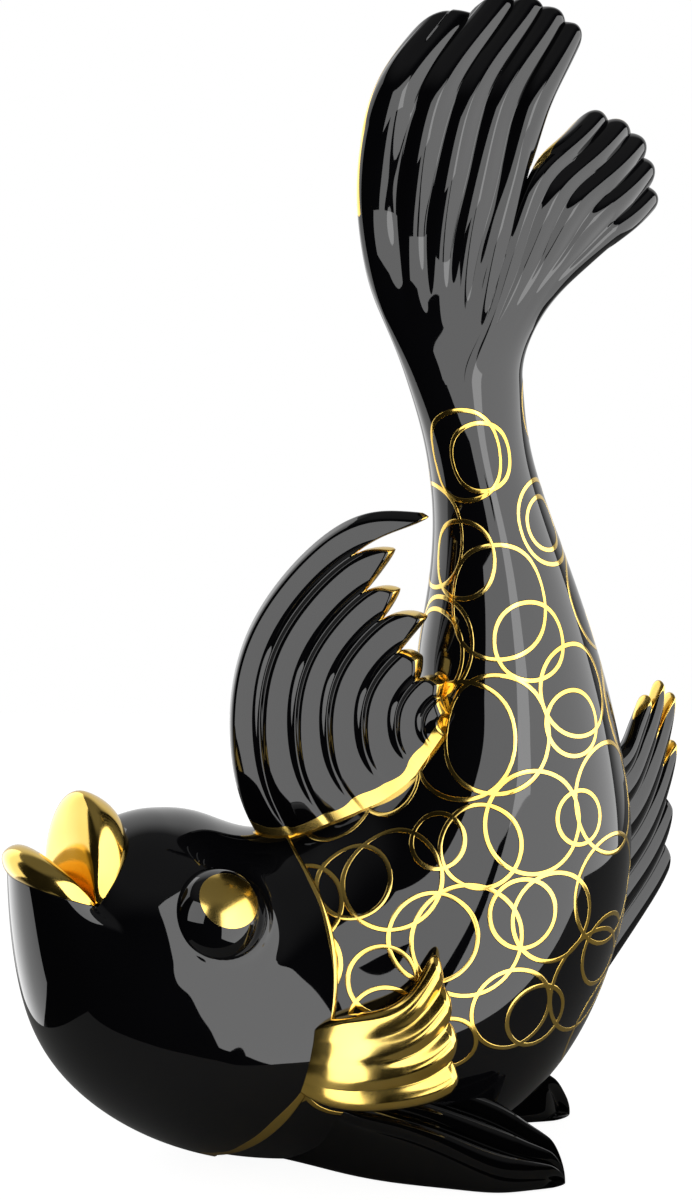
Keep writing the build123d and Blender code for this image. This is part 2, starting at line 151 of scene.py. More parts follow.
@dataclass
class Sheet:
    """A growing mesh in millimetres, made of grids of points."""

    points: list[Array] = field(default_factory=list)
    faces: list[tuple[int, ...]] = field(default_factory=list)
    gilt: list[Array] = field(default_factory=list)
    flat: set[int] = field(default_factory=set)
    count: int = 0

    def grid(
        self, points: Array, gilt: Array | float = BARE, wrap: bool = False, flip: bool = False,
    ) -> Array:
        """Adds a grid of points and its faces.

        Args:
            points: rows by columns by three.
            gilt: gilding value of each point.
            wrap: whether the last column joins the first.
            flip: whether the faces turn the other way.

        Returns:
            The numbers of the grid's points.
        """
        rows, columns = points.shape[:2]
        numbers = self.count + np.arange(rows * columns).reshape(rows, columns)
        self.points.append(points.reshape(-1, 3))
        self.gilt.append(np.broadcast_to(np.asarray(gilt, float), (rows, columns)).reshape(-1))
        self.count += rows * columns
        self.skin(numbers, wrap, flip)
        return numbers

    def skin(self, numbers: Array, wrap: bool = False, flip: bool = False, flat: bool = False) -> None:
        """Adds faces over a grid of point numbers.

        Args:
            numbers: rows by columns.
            wrap: whether the last column joins the first.
            flip: whether the faces turn the other way.
            flat: whether the faces are shaded flat.
        """
        first = len(self.faces)
        ring = np.concatenate([numbers, numbers[:, :1]], axis=1) if wrap else numbers
        corners = [ring[:-1, :-1], ring[:-1, 1:], ring[1:, 1:], ring[1:, :-1]]
        if flip:
            corners = corners[::-1]
        self.faces.extend(map(tuple, np.stack(corners, -1).reshape(-1, 4).tolist()))
        if flat:
            self.flat.update(range(first, len(self.faces)))

    def cap(self, ring: Array, flat: bool = False) -> None:
        """Closes a ring of points with a fan about its middle.

        Args:
            ring: the points' numbers in order.
            flat: whether the faces are shaded flat.
        """
        first = len(self.faces)
        middle = np.concatenate(self.points)[ring].mean(0)
        hub = self.count
        self.points.append(middle[None])
        self.gilt.append(np.array([BARE]))
        self.count += 1
        following = np.roll(ring, -1)
        self.faces.extend((int(a), int(b), hub) for a, b in zip(ring, following))
        if flat:
            self.flat.update(range(first, len(self.faces)))

    def build(self, name: str, weld: float = 1e-4) -> bpy.types.Object:
        """Makes the mesh object, closed and facing outwards.

        Args:
            name: name of the piece.
            weld: distance in millimetres under which points are merged.

        Returns:
            The new object, linked to the scene.
        """
        mesh = bpy.data.meshes.new(name)
        mesh.from_pydata((np.concatenate(self.points) * MM).tolist(), [], self.faces)
        soft = [number not in self.flat for number in range(len(self.faces))]
        mesh.polygons.foreach_set("use_smooth", soft)
        layer = mesh.attributes.new(GILT, "FLOAT", "POINT")
        layer.data.foreach_set("value", np.concatenate(self.gilt).astype(np.float32))
        work = bmesh.new()
        work.from_mesh(mesh)
        bmesh.ops.remove_doubles(work, verts=work.verts, dist=weld * MM)
        bmesh.ops.dissolve_degenerate(work, dist=1e-8, edges=work.edges)
        bmesh.ops.recalc_face_normals(work, faces=work.faces)
        for face in work.faces:
            if not face.smooth:
                for edge in face.edges:
                    edge.smooth = False
        work.to_mesh(mesh)
        work.free()
        piece = bpy.data.objects.new(name, mesh)
        bpy.context.scene.collection.objects.link(piece)
        return piece


# Finishes

def linear(code: str) -> tuple[float, float, float, float]:
    """An sRGB hex colour as linear red, green, blue and alpha."""
    parts = [int(code[start: start + 2], 16) / 255 for start in (1, 3, 5)]
    return (*(part / 12.92 if part <= 0.04045 else ((part + 0.055) / 1.055) ** 2.4 for part in parts), 1.0)


def add_node(
    tree: bpy.types.NodeTree, kind: str, settings: dict | None = None, **inputs: object,
) -> bpy.types.Node:
    """Adds a node with its settings, values and links.

    Args:
        tree: the tree it goes into.
        kind: the node's type.
        settings: the node's own properties.
        **inputs: a value, or an output socket to link, for each named input; _1 stands for input number 1.

    Returns:
        The new node.
    """
    node = tree.nodes.new(kind)
    for key, value in (settings or {}).items():
        setattr(node, key, value)
    for key, value in inputs.items():
        socket = node.inputs[int(key[1:])] if key[1:].isdigit() else node.inputs[key.replace("_", " ")]
        if isinstance(value, bpy.types.NodeSocket):
            tree.links.new(value, socket)
        else:
            socket.default_value = value
    return node


def new_material(name: str) -> tuple[bpy.types.Material, bpy.types.NodeTree]:
    """An empty node material.

    Args:
        name: its name.

    Returns:
        The material and its node tree.
    """
    material = bpy.data.materials.new(name)
    material.use_nodes = True
    material.node_tree.nodes.clear()
    return material, material.node_tree


@dataclass(frozen=True)
class FiredGold:
    """Bright gold, brushed on the glaze as a liquid and fired to a film.

    To the eye it is a warm mirror, a little blurred by the brush's streaks.
    """

    colour: str = "#EBCB74"
    thin_colour: str = "#DDB858"      # where the brush left less of it
    roughness: float = 0.13
    line_roughness: float = 0.2       # thin brushed lines
    line_edge: float = 0.04           # softness of the gold's edge on the glaze, in millimetres
    streak_mm: float = 7.0            # spacing of the brush's streaks
    streak_noise: tuple[float, float] = (0.3, 0.75)     # noise from the smoothest to the roughest streak
    streak_span: tuple[float, float] = (0.7, 1.5)       # their roughness, as a share of the whole's
    pool_mm: float = 28.0             # spacing of thicker and thinner patches
    pool_noise: tuple[float, float] = (0.35, 0.7)       # noise from the thinnest to the thickest patch


@dataclass(frozen=True)
class BlackGlaze:
    """Black glaze, fired on slip-cast porcelain.

    To the eye it is a glassy black coat with sharp reflections and hardly any orange peel.
    """

    colour: str = "#050506"
    deep_colour: str = "#020203"
    roughness: float = 0.025
    ior: float = 1.52
    peel_mm: float = 9.0              # spacing of its slow waves
    peel_height: float = 0.012        # height of these, in millimetres
    cloud_mm: float = 40.0            # spacing of deeper and paler black


class Finishes:
    """The two materials of the figurine."""

    def __init__(self, glaze: BlackGlaze, gold: FiredGold) -> None:
        """Builds both materials."""
        self.glaze = self._porcelain(glaze, gold)
        self.gold = self._gilding(gold)

    @staticmethod
    def _gold_colour(
        tree: bpy.types.NodeTree, place: bpy.types.NodeSocket, gold: FiredGold,
    ) -> bpy.types.NodeSocket:
        """Colour of the gold film, thicker and thinner in patches.

        Args:
            tree: the material's tree.
            place: where on the piece.
            gold: the film.

        Returns:
            The colour's socket.
        """
        pool = add_node(tree, "ShaderNodeTexNoise", Vector=place, Scale=1 / (gold.pool_mm * MM), Detail=2.0)
        thin, thick = gold.pool_noise
        share = add_node(
            tree, "ShaderNodeMapRange", Value=pool.outputs["Fac"],
            From_Min=thin, From_Max=thick, To_Min=0.0, To_Max=1.0,
        )
        mix = add_node(
            tree, "ShaderNodeMix", {"data_type": "RGBA"},
            _0=share.outputs["Result"], _6=linear(gold.thin_colour), _7=linear(gold.colour),
        )
        return mix.outputs[2]

    def _gilding(self, gold: FiredGold) -> bpy.types.Material:
        """Gold all over.

        Args:
            gold: the film.

        Returns:
            The material.
        """
        material, tree = new_material("fired_bright_gold")
        place = add_node(tree, "ShaderNodeTexCoord").outputs["Object"]
        scale = 1 / (gold.streak_mm * MM)
        streaks = add_node(tree, "ShaderNodeTexNoise", Vector=place, Scale=scale, Detail=3.0)
        low, high = gold.streak_noise
        least, most = (gold.roughness * share for share in gold.streak_span)
        rough = add_node(
            tree, "ShaderNodeMapRange", Value=streaks.outputs["Fac"],
            From_Min=low, From_Max=high, To_Min=least, To_Max=most,
        )
        shader = add_node(
            tree, "ShaderNodeBsdfPrincipled", Base_Color=self._gold_colour(tree, place, gold),
            Metallic=1.0, Roughness=rough.outputs["Result"],
        )
        add_node(tree, "ShaderNodeOutputMaterial", Surface=shader.outputs[0])
        return material

    def _porcelain(self, glaze: BlackGlaze, gold: FiredGold) -> bpy.types.Material:
        """Black glaze, with gold wherever the gilding attribute is above zero.

        Args:
            glaze: the glaze.
            gold: the film on it.

        Returns:
            The material.
        """
        material, tree = new_material("black_glazed_porcelain_gilded")
        place = add_node(tree, "ShaderNodeTexCoord").outputs["Object"]
        paint = add_node(tree, "ShaderNodeAttribute", {"attribute_name": GILT})
        mask = add_node(
            tree, "ShaderNodeMapRange", Value=paint.outputs["Fac"],
            From_Min=-gold.line_edge, From_Max=gold.line_edge, To_Min=0.0, To_Max=1.0,
        ).outputs["Result"]
        scale = 1 / (glaze.cloud_mm * MM)
        cloud = add_node(tree, "ShaderNodeTexNoise", Vector=place, Scale=scale, Detail=2.0)
        black = add_node(
            tree, "ShaderNodeMix", {"data_type": "RGBA"},
            _0=cloud.outputs["Fac"], _6=linear(glaze.deep_colour), _7=linear(glaze.colour),
        )
        colour = add_node(
            tree, "ShaderNodeMix", {"data_type": "RGBA"},
            _0=mask, _6=black.outputs[2], _7=self._gold_colour(tree, place, gold),
        )
        rough = add_node(
            tree, "ShaderNodeMapRange", Value=mask, To_Min=glaze.roughness, To_Max=gold.line_roughness,
        )
        peel = add_node(tree, "ShaderNodeTexNoise", Vector=place, Scale=1 / (glaze.peel_mm * MM), Detail=1.0)
        bump = add_node(
            tree, "ShaderNodeBump", Strength=1.0, Distance=glaze.peel_height * MM, Height=peel.outputs["Fac"],
        )
        shader = add_node(
            tree, "ShaderNodeBsdfPrincipled", Base_Color=colour.outputs[2], Metallic=mask,
            Roughness=rough.outputs["Result"], IOR=glaze.ior, Normal=bump.outputs["Normal"],
        )
        add_node(tree, "ShaderNodeOutputMaterial", Surface=shader.outputs[0])
        return material


def dress(piece: bpy.types.Object, material: bpy.types.Material, slot: Slot, *nodes: str) -> bpy.types.Object:
    """Gives a piece its material and its place in the frame.

    Args:
        piece: the piece.
        material: its finish.
        slot: the record's slot that the finish belongs to; not used.
        *nodes: the solids that it stands for.

    Returns:
        The same piece.
    """
    piece.data.materials.clear()
    piece.data.materials.append(material)
    if nodes:
        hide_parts(*nodes)
    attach(piece, "root")
    log.info("%s: %d faces", piece.name, len(piece.data.polygons))
    return piece


# Body

HALVINGS = 40          # steps of a search by halves, enough for the last digit


@dataclass
class Body:
    """The fish's head and trunk as one smooth form along a spine.

    Each girth is x, y, z, heading, yaw, half height and half width.
    """

    girths: tuple[tuple[float, ...], ...] = (
        (-78, -27, 94, -78, 28, 16.5, 14.5),
        (-75.5, -26.5, 90, -58, 28, 19.5, 17),
        (-73, -24, 81, -41, 26, 28, 25),
        (-66, -18, 67, -27, 22, 39, 35.5),
        (-50, -9, 54, -15, 15, 46, 43),
        (-28, -2, 45.5, -6, 8, 47.5, 46),
        (-2, 0, 48.5, 6.5, 0, 51.5, 43.8),
        (24.5, 0, 58.5, 22, 0, 53, 42),
        (42, 0, 80.5, 36, 0, 48, 38.5),
        (49.5, 0, 107.5, 49.5, 0, 40.5, 33),
        (49.5, 0, 128.5, 58, 0, 34.5, 28.5),
        (47.5, 0, 151, 65, 0, 27.3, 23.5),
        (43, 0, 177, 73, 0, 19.7, 18),
        (37, 0, 202, 82, 0, 15.3, 14.5),
        (32.8, 0, 223, 90, 0, 16.2, 11),
    )
    breast: float = 6.0               # girth number as far as which the trunk is drawn in
    gill_centre: tuple[float, float] = (-36.4, 49.9)
    gill_half: tuple[float, float] = (32.25, 49.0)
    gill_lean: float = -18.0          # turn of the oval that the gill covers' edge follows
    gill_search: tuple[float, float] = (3.0, 8.0)       # girths between which that edge lies
    gill_step: float = 1.2            # how far the covers stand above the trunk
    gill_line: float = 1.5            # width of the gold line on that edge
    eye_angle: float = 53.0           # degrees from the back
    eye_girth: float = 4.0
    around: int = 260                 # columns of the meshes

    @property
    def last(self) -> float:
        """Girth number of the tail's root."""
        return len(self.girths) - 1.0

    def frames(self, at: Array) -> tuple[Array, Array, Array]:
        """The spine at girth numbers.

        Args:
            at: girth numbers.

        Returns:
            The girths' values, the directions of the back and those of the right side.
        """
        rows = spline(np.array(self.girths), at)
        heading, yaw = np.radians(rows[..., 3]), np.radians(rows[..., 4])
        back = np.stack([-np.sin(heading) * np.cos(yaw), -np.sin(heading) * np.sin(yaw), np.cos(heading)], -1)
        side = np.stack([-np.sin(yaw), np.cos(yaw), np.zeros_like(yaw)], -1)
        return rows, back, side

    def skin(self, at: Array, angle: Array, inset: Array | float = 0.0) -> Array:
        """Points of the skin.

        Args:
            at: girth numbers.
            angle: radians from the back towards the right side.
            inset: how far the section is drawn in, in millimetres.

        Returns:
            One point for each pair.
        """
        rows, back, side = self.frames(at)
        inset = np.broadcast_to(np.asarray(inset, float), np.shape(at))
        high = (rows[..., 5] - inset)[..., None]
        wide = (rows[..., 6] - inset)[..., None]
        return rows[..., :3] + back * high * np.cos(angle)[..., None] + side * wide * np.sin(angle)[..., None]

    def in_head(self, points: Array) -> Array:
        """Whether points lie in front of the gill covers' rear edge.

        Args:
            points: points of the skin.

        Returns:
            True for those in front.
        """
        lean = math.radians(self.gill_lean)
        x, z = points[..., 0] - self.gill_centre[0], points[..., 2] - self.gill_centre[1]
        wide = x * math.cos(lean) + z * math.sin(lean)
        high = z * math.cos(lean) - x * math.sin(lean)
        oval = np.hypot(wide / self.gill_half[0], high / self.gill_half[1]) < 1
        return oval | (x < 0) | ((wide < 0) & (high > 0))

    def gill_reach(self, angle: Array) -> Array:
        """Where the gill covers' rear edge lies.

        Args:
            angle: radians from the back towards the right side.

        Returns:
            A girth number for each angle.
        """
        low, high = (np.full(angle.shape, limit) for limit in self.gill_search)
        for _ in range(HALVINGS):
            middle = (low + high) / 2
            inside = self.in_head(self.skin(middle, angle))
            low, high = np.where(inside, middle, low), np.where(inside, high, middle)
        return (low + high) / 2

    def angles(self) -> Array:
        """The angles of the columns round the body."""
        return np.linspace(0, 2 * math.pi, self.around, endpoint=False)

    def eye_axis(self, side: Side) -> tuple[Array, Array]:
        """An eye's place on the skin and the direction it looks in.

        Args:
            side: which eye.

        Returns:
            The place and the unit direction.
        """
        rows, back, across = self.frames(np.array(self.eye_girth))
        lean = math.radians(self.eye_angle) * side.value
        outward = across * math.sin(lean) + back * math.cos(lean)
        place = rows[:3] + back * rows[5] * math.cos(lean) + across * rows[6] * math.sin(lean)
        return place, outward


def on_table(points: Array) -> Array:
    """Points with nothing below the table.

    Args:
        points: any points.

    Returns:
        A copy in which what was lower lies on the table.
    """
    points = points.copy()
    points[..., 2] = np.maximum(points[..., 2], 0)
    return points


@dataclass(frozen=True)
class Mouth:
    """The open mouth's frame and the roots of its lips.

    Places are forward and up from the line between the mouth's corners, at the mouth's middle.
    """

    corner: tuple[float, float, float] = (-76.6, -27.5, 83)
    yaw: float = 28.0
    half_width: float = 17.0
    fullness: float = 0.7             # how squarely the lips fill out towards the corners
    upper_root: tuple[float, float] = (-14.5, 16.5)
    lower_root: tuple[float, float] = (17.0, 5.8)
    root_flare: float = 1.04          # width of the lips' roots, as a share of the mouth's
    throat: float = 0.94              # width of the throat, likewise
    # each lip from the throat over its rim, and its heel inside the head, behind the root
    upper_rim: tuple = ((0, -1), (1.0, 9), (0.4, 19), (-2.4, 27.2), (-7, 27.2), (-12.2, 23))
    upper_heel: tuple[float, float] = (-11, 11)
    lower_rim: tuple = ((0, -1), (5, 7.6), (12, 14.0), (17.4, 13.4), (18.8, 10.2))
    lower_heel: tuple[float, float] = (12, 2)

    @property
    def upper_profile(self) -> tuple:
        """The upper lip's section at the mouth's middle."""
        return (*self.upper_rim, self.upper_root, self.upper_heel)

    @property
    def lower_profile(self) -> tuple:
        """The lower lip's section at the mouth's middle."""
        return (*self.lower_rim, self.lower_root, self.lower_heel)

    def place(self, local: Array) -> Array:
        """Turns the mouth's own places to points in space.

        Args:
            local: forward, up and across.

        Returns:
            One point for each.
        """
        yaw = math.radians(self.yaw)
        forward = np.array([-math.cos(yaw), -math.sin(yaw), 0])
        across = np.array([-math.sin(yaw), math.cos(yaw), 0])
        up = np.array([0, 0, 1.0])
        ahead, high, aside = local[..., :1] * forward, local[..., 1:2] * up, local[..., 2:] * across
        return np.array(self.corner) + ahead + high + aside

    def lift(self, sine: Array) -> Array:
        """Height of the lips across the mouth, as a share of that at its middle."""
        return np.abs(sine) ** self.fullness

    def opening(self, angle: Array) -> Array:
        """The loop where the head's skin meets the lips' roots.

        Args:
            angle: angles round the head.

        Returns:
            One point for each angle.
        """
        lift = self.lift(np.cos(angle))[:, None]
        upper = np.array(self.upper_root) * lift
        lower = np.array(self.lower_root) * lift
        flat = np.where(np.cos(angle)[:, None] > 0, upper, lower)
        across = self.half_width * self.root_flare * np.sin(angle)
        return self.place(np.column_stack([flat, across]))


@dataclass
class Head:
    """The head shell, with the open mouth, creases behind the eyes and the gold edge of the gill covers."""

    body: Body
    mouth: Mouth
    rows: int = 230
    crowding: float = 1.45            # how much the rows crowd towards the gill covers' edge
    rim: float = 1.1                  # rounding of that edge
    rim_drop: float = 0.15            # how far it runs down past the step to the trunk
    wall_back: float = 0.25           # the wall behind it: girths further in front
    wall_depth: float = 4.5           # and millimetres deeper
    snout: float = 1.0                # girth number where the skin starts to follow the mouth
    blend: float = 1.7                # girths over which it does
    trough_depth: float = 1.5
    trough_steps: tuple[float, ...] = (0.3, 0.65, 1.0)
    # the gold line on the edge grows wider low down, between two heights
    low_line: tuple[float, float] = (15.0, 40.0)
    low_widening: float = 2.0
    line_wobble: float = 0.25
    line_wave: float = 60.0           # degrees of the wobble's longest wave
    line_seed: int = 3
    # crease and soft roll behind each eye: distance from it, width and height
    creases: tuple = ((13.6, 1.4, -0.9), (18.0, 3.4, 0.5))
    crease_fade: tuple[float, float] = (-6.0, 8.0)      # where they fade in, from the eye backwards
    crease_lean: float = 0.6          # how much sooner below it than above
    # soft folds in the cheeks: girth number, width in girths and height
    folds: tuple = ((3.55, 0.24, 0.1), (4.5, 0.22, 0.12))
    fold_angle: float = 95.0          # degrees from the back to their middle
    fold_spread: float = 14.0

    def build(self) -> bpy.types.Object:
        """Makes the head's mesh.

        Returns:
            The head.
        """
        body = self.body
        angle = body.angles()
        reach = body.gill_reach(angle)
        # rows crowd towards the rear edge, where the gold line and the rounding are
        share = 1 - (1 - np.linspace(0, 1, self.rows)) ** self.crowding
        at = self.snout + share[:, None] * (reach - self.snout)[None, :]
        turn = np.broadcast_to(angle, at.shape)
        edge = body.skin(reach, angle)
        to_edge = np.linalg.norm(body.skin(at, turn) - edge[None], axis=-1)
        drop = 1 - np.sqrt(np.clip(1 - (1 - np.clip(to_edge / self.rim, 0, 1)) ** 2, 0, 1))
        skin = body.skin(at, turn, (body.gill_step + self.rim_drop) * drop)
        opening = self.mouth.opening(angle)
        pull = 1 - smooth(0, self.blend, at - self.snout)
        skin = skin + (opening - skin[0])[None] * pull[..., None]
        skin = on_table(self._model(skin, at, turn))
        low_down = 1 - smooth(*self.low_line, edge[:, 2])
        wobble = self.line_wobble * waver(np.degrees(angle), self.line_wave, self.line_seed)
        width = body.gill_line * (1 + self.low_widening * low_down) * (1 + wobble)
        sheet = Sheet()
        outer = sheet.grid(skin, width[None, :] - to_edge, wrap=True)
        self._trough(sheet, outer[0], angle, opening)
        sunk = sheet.grid(on_table(body.skin(reach - self.wall_back, angle, self.wall_depth))[None])
        sheet.skin(np.stack([outer[-1], sunk[0]]), wrap=True)
        sheet.cap(sunk[0])
        return sheet.build("head_skin")

    def _model(self, skin: Array, at: Array, turn: Array) -> Array:
        """Presses a crease behind each eye and soft folds into the cheeks.

        Args:
            skin: the head's points.
            at: their girth numbers.
            turn: their angles.

        Returns:
            The modelled points.
        """
        along = np.gradient(skin, axis=0)
        padded = np.concatenate([skin[:, -1:], skin, skin[:, :1]], axis=1)
        normal = unit(np.cross(padded[:, 2:] - padded[:, :-2], along))
        for side in Side:
            place, _ = self.body.eye_axis(side)
            offset = skin - place
            away = np.linalg.norm(offset, axis=-1)
            rear = smooth(*self.crease_fade, offset[..., 0] - self.crease_lean * offset[..., 2])
            crease = sum(high * rear * hump(away, middle, width) for middle, width, high in self.creases)
            lean = np.degrees(turn if side is Side.RIGHT else 2 * math.pi - turn)
            ripple = sum(high * hump(at, middle, width) for middle, width, high in self.folds)
            fold = hump(lean, self.fold_angle, self.fold_spread) * ripple
            skin = skin + normal * (crease + fold)[..., None]
        return skin

    def _trough(self, sheet: Sheet, rim: Array, angle: Array, opening: Array) -> None:
        """Leads the skin from the mouth's opening down into a trough between its corners.

        Args:
            sheet: the head's mesh.
            rim: numbers of the opening's points.
            angle: their angles.
            opening: the points themselves.
        """
        across = self.mouth.throat * self.mouth.half_width * np.sin(angle)
        level = np.zeros_like(across)
        bottom = self.mouth.place(np.column_stack([level, level - self.trough_depth, across]))
        lines = [opening * (1 - share) + bottom * share for share in self.trough_steps]
        rows = [sheet.grid(line[None], FULL)[0] for line in lines]
        sheet.skin(np.stack([rim, *rows]), wrap=True)
        sheet.cap(rows[-1])


@dataclass
class Trunk:
    """The trunk and stem, from under the gill covers to the root of the tail."""

    body: Body
    rows: int = 320
    tuck: float = 0.7                 # how far it runs in under the gill covers, in girths
    tuck_inset: float = 2.4           # how deep it lies there

    def build(self) -> bpy.types.Object:
        """Makes the trunk's mesh.

        Returns:
            The trunk.
        """
        body = self.body
        angle = body.angles()
        reach = body.gill_reach(angle)
        start = reach - self.tuck
        share = np.linspace(0, 1, self.rows)[:, None]
        at = start[None] * (1 - share) + body.last * share
        turn = np.broadcast_to(angle, at.shape)
        hidden = 1 - smooth(0, self.tuck, at - start[None])
        inset = body.gill_step * (1 - smooth(body.breast, body.breast + 1, at)) + self.tuck_inset * hidden
        sheet = Sheet()
        numbers = sheet.grid(on_table(body.skin(at, turn, inset)), wrap=True)
        sheet.cap(numbers[0], flat=True)
        sheet.cap(numbers[-1], flat=True)
        return sheet.build("trunk_skin")


# Fins

# extra columns near a fin's edges, as shares of the outermost column's width
EDGE_STEPS = np.array([0.02, 0.08, 0.2, 0.4, 0.65])
SOFT_POWER = 1.3       # shape of the waves of soft rays
ROUND_POWER = 0.8      # and of round ones
GROOVE = 0.11          # half width of the grooves between broad rays, as a share of a ray
CROWN = 0.2            # share of a broad ray's height that is a crown


class FinStation(NamedTuple):
    """Section across a fin: its two edges, half thicknesses, the ridges' height and the edges' rounding."""

    edge_a: tuple[float, float, float]
    edge_b: tuple[float, float, float]
    half_a: float
    half_b: float
    ridge: float
    rim_a: float = 2.2
    rim_b: float = 2.2

    def row(self) -> tuple[float, ...]:
        """All numbers of the section in a row."""
        return (*self.edge_a, *self.edge_b, *self[2:])


class FanGrid(NamedTuple):
    """A fin's middle surface and what is known at each of its points."""

    middle: Array
    normal: Array
    half: Array
    to_tip: Array
    to_rim: Array
    share: Array


@dataclass
class Fan:
    """A fluted fin between two edges, with one ridge for each ray on both faces.

    The borders are the rays' edges, as shares of the width. The reach gives the rays' tips and notches by
    turns, as share of the width and station number.
    """

    name: str
    stations: tuple[FinStation, ...]
    borders: tuple[float, ...]
    reach: tuple[tuple[float, float], ...]
    flute: Flute
    facing: tuple[float, float, float] = (0.0, -1.0, 0.0)
    fullness: float = 2.0             # how round the rays' ends are: 1 is pointed, 2 is round
    rim: float = 2.4                  # rounding of the rays' ends, in millimetres
    oval: bool = False                # whether the thickness grows like an oval towards edge b
    curl: float = 0.0                 # how far the ends curl away, in millimetres
    curl_reach: float = 15.0          # length of the curled part
    camber: float = 0.0               # how far the fin bulges towards its facing side
    camber_root: float = 1.5          # station number from which it does so fully
    sway: float = 0.0                 # height of slow waves over the whole fin, modelled by hand
    sway_waves: tuple[float, float] = (0.9, 0.2)        # waves across the width and for each station
    sway_fade: tuple[float, float] = (1.5, 4.0)         # station numbers between which they fade in
    root_climb: Array | None = None   # change of the first station's numbers at the root
    columns_per_ray: int = 24
    rows: int = 150
    crowding: float = 1.7             # how much the rows crowd towards the rays' ends

    def _shares(self) -> Array:
        """Spreads the columns over the width, closer together at the edges.

        Returns:
            Shares of the width.
        """
        knots = np.arange(len(self.borders))
        even = np.interp(np.linspace(0, knots[-1], knots[-1] * self.columns_per_ray + 1), knots, self.borders)
        first = even[1] * EDGE_STEPS
        last = 1 - (1 - even[-2]) * EDGE_STEPS
        return np.sort(np.concatenate([even, first, last]))

    def _ends(self, share: Array) -> Array:
        """Where each column ends.

        Args:
            share: the columns' shares of the width.

        Returns:
            Station numbers.
        """
        knots = np.array(self.reach, float)
        slot = np.clip(np.searchsorted(knots[:, 0], share, side="right") - 1, 0, len(knots) - 2)
        low, high = knots[slot], knots[slot + 1]
        part = np.clip((share - low[:, 0]) / (high[:, 0] - low[:, 0]), 0, 1)
        power = self.fullness
        rising = (1 - (1 - part) ** power) ** (1 / power)
        falling = 1 - (1 - part ** power) ** (1 / power)
        return low[:, 1] + (high[:, 1] - low[:, 1]) * np.where(high[:, 1] > low[:, 1], rising, falling)

    def _ridges(self, share: Array) -> Array:
        """Height of the rays across the width.

        Args:
            share: the columns' shares of the width.

        Returns:
            Heights from 0 in the grooves to 1.
        """
        part = np.interp(share, self.borders, np.arange(len(self.borders))) % 1.0
        wave = np.abs(np.sin(math.pi * part))
        if self.flute is Flute.SOFT:
            return wave ** SOFT_POWER
        if self.flute is Flute.ROUND:
            return wave ** ROUND_POWER
        groove = np.minimum(part, 1 - part)
        return (1 - CROWN) * (1 - hump(groove, 0.0, GROOVE)) + CROWN * wave

    @staticmethod
    def _round(distance: Array, rim: Array | float) -> Array:
        """How much of the thickness is left near a rounded edge.

        Args:
            distance: distances from the edge.
            rim: its rounding; under 0.05 mm it has none.

        Returns:
            Shares of the thickness.
        """
        rim = np.broadcast_to(np.asarray(rim, float), distance.shape)
        share = np.clip(distance / np.maximum(rim, 1e-6), 0, 1)
        return np.where(rim < 0.05, 1.0, np.sqrt(np.clip(1 - (1 - share) ** 2, 0, 1)))

    def grid(self) -> FanGrid:
        """Works out the fin's middle surface and thickness.

        Returns:
            What is known at each point.
        """
        share = self._shares()
        step = 1 - (1 - np.linspace(0, 1, self.rows)) ** self.crowding
        at = step[:, None] * self._ends(share)[None]
        rows = spline(np.array([station.row() for station in self.stations]), at, self.root_climb)
        edge_a, across = rows[..., :3], rows[..., 3:6] - rows[..., :3]
        middle = edge_a + across * share[None, :, None]
        facing = np.array(self.facing)
        pieces = np.linalg.norm(np.diff(middle, axis=0), axis=-1)
        to_tip = np.concatenate([np.cumsum(pieces[::-1], axis=0)[::-1], np.zeros((1, len(share)))])
        bow = self.camber * np.sin(math.pi * share)[None] * smooth(0, self.camber_root, at)
        waves = self.sway_waves[0] * share[None] + self.sway_waves[1] * at
        bow = bow + self.sway * np.sin(2 * math.pi * waves) * smooth(*self.sway_fade, at)
        bend = self.curl * np.clip(1 - to_tip / self.curl_reach, 0, 1) ** 2
        middle = middle + facing * (bow - bend)[..., None]
        normal = unit(np.cross(np.gradient(middle, axis=0), np.gradient(middle, share, axis=1)))
        normal = normal * np.sign(normal @ facing)[..., None]
        swell = np.sqrt(share * (2 - share)) if self.oval else share
        half_a, half_b, ridge, rim_a, rim_b = np.moveaxis(rows[..., 6:], -1, 0)
        half = half_a + (half_b - half_a) * swell[None] + ridge * self._ridges(share)[None]
        width = np.linalg.norm(across, axis=-1)
        to_a, to_b = width * share[None], width * (1 - share)[None]
        for distance, rim in ((to_tip, self.rim), (to_a, rim_a), (to_b, rim_b)):
            half = half * self._round(distance, rim)
        return FanGrid(middle, normal, half, to_tip, np.minimum(to_tip, np.minimum(to_a, to_b)), share)

    def build(self, paint: Callable[[FanGrid], Array] | None = None) -> bpy.types.Object:
        """Makes the fin's mesh.

        Args:
            paint: gives the gilding of the fin's points.

        Returns:
            The fin.
        """
        grid = self.grid()
        gilt = paint(grid) if paint else BARE
        sheet = Sheet()
        front = sheet.grid(grid.middle + grid.normal * grid.half[..., None], gilt)
        rear = sheet.grid(grid.middle - grid.normal * grid.half[..., None], gilt, flip=True)
        sheet.skin(np.stack([front[0], rear[0]]), flat=True)
        for column in (0, -1):
            sheet.skin(np.stack([front[:, column], rear[:, column]]), flat=True)
        return sheet.build(self.name)


def standing(origin: Sequence[float], turn: float, points: Array) -> Array:
    """Points of an upright plane turned about Z, given as level and upward distances.

    Args:
        origin: the plane's own origin.
        turn: degrees about Z.
        points: pairs of distances.

    Returns:
        Points in space.
    """
    angle = math.radians(turn)
    level = np.array([math.cos(angle), math.sin(angle), 0])
    points = np.asarray(points, float)
    return np.asarray(origin, float) + points[..., :1] * level + points[..., 1:] * np.array([0, 0, 1.0])


def even_rays(count: int) -> tuple[float, ...]:
    """Borders of rays of one width."""
    return tuple(np.linspace(0, 1, count + 1))


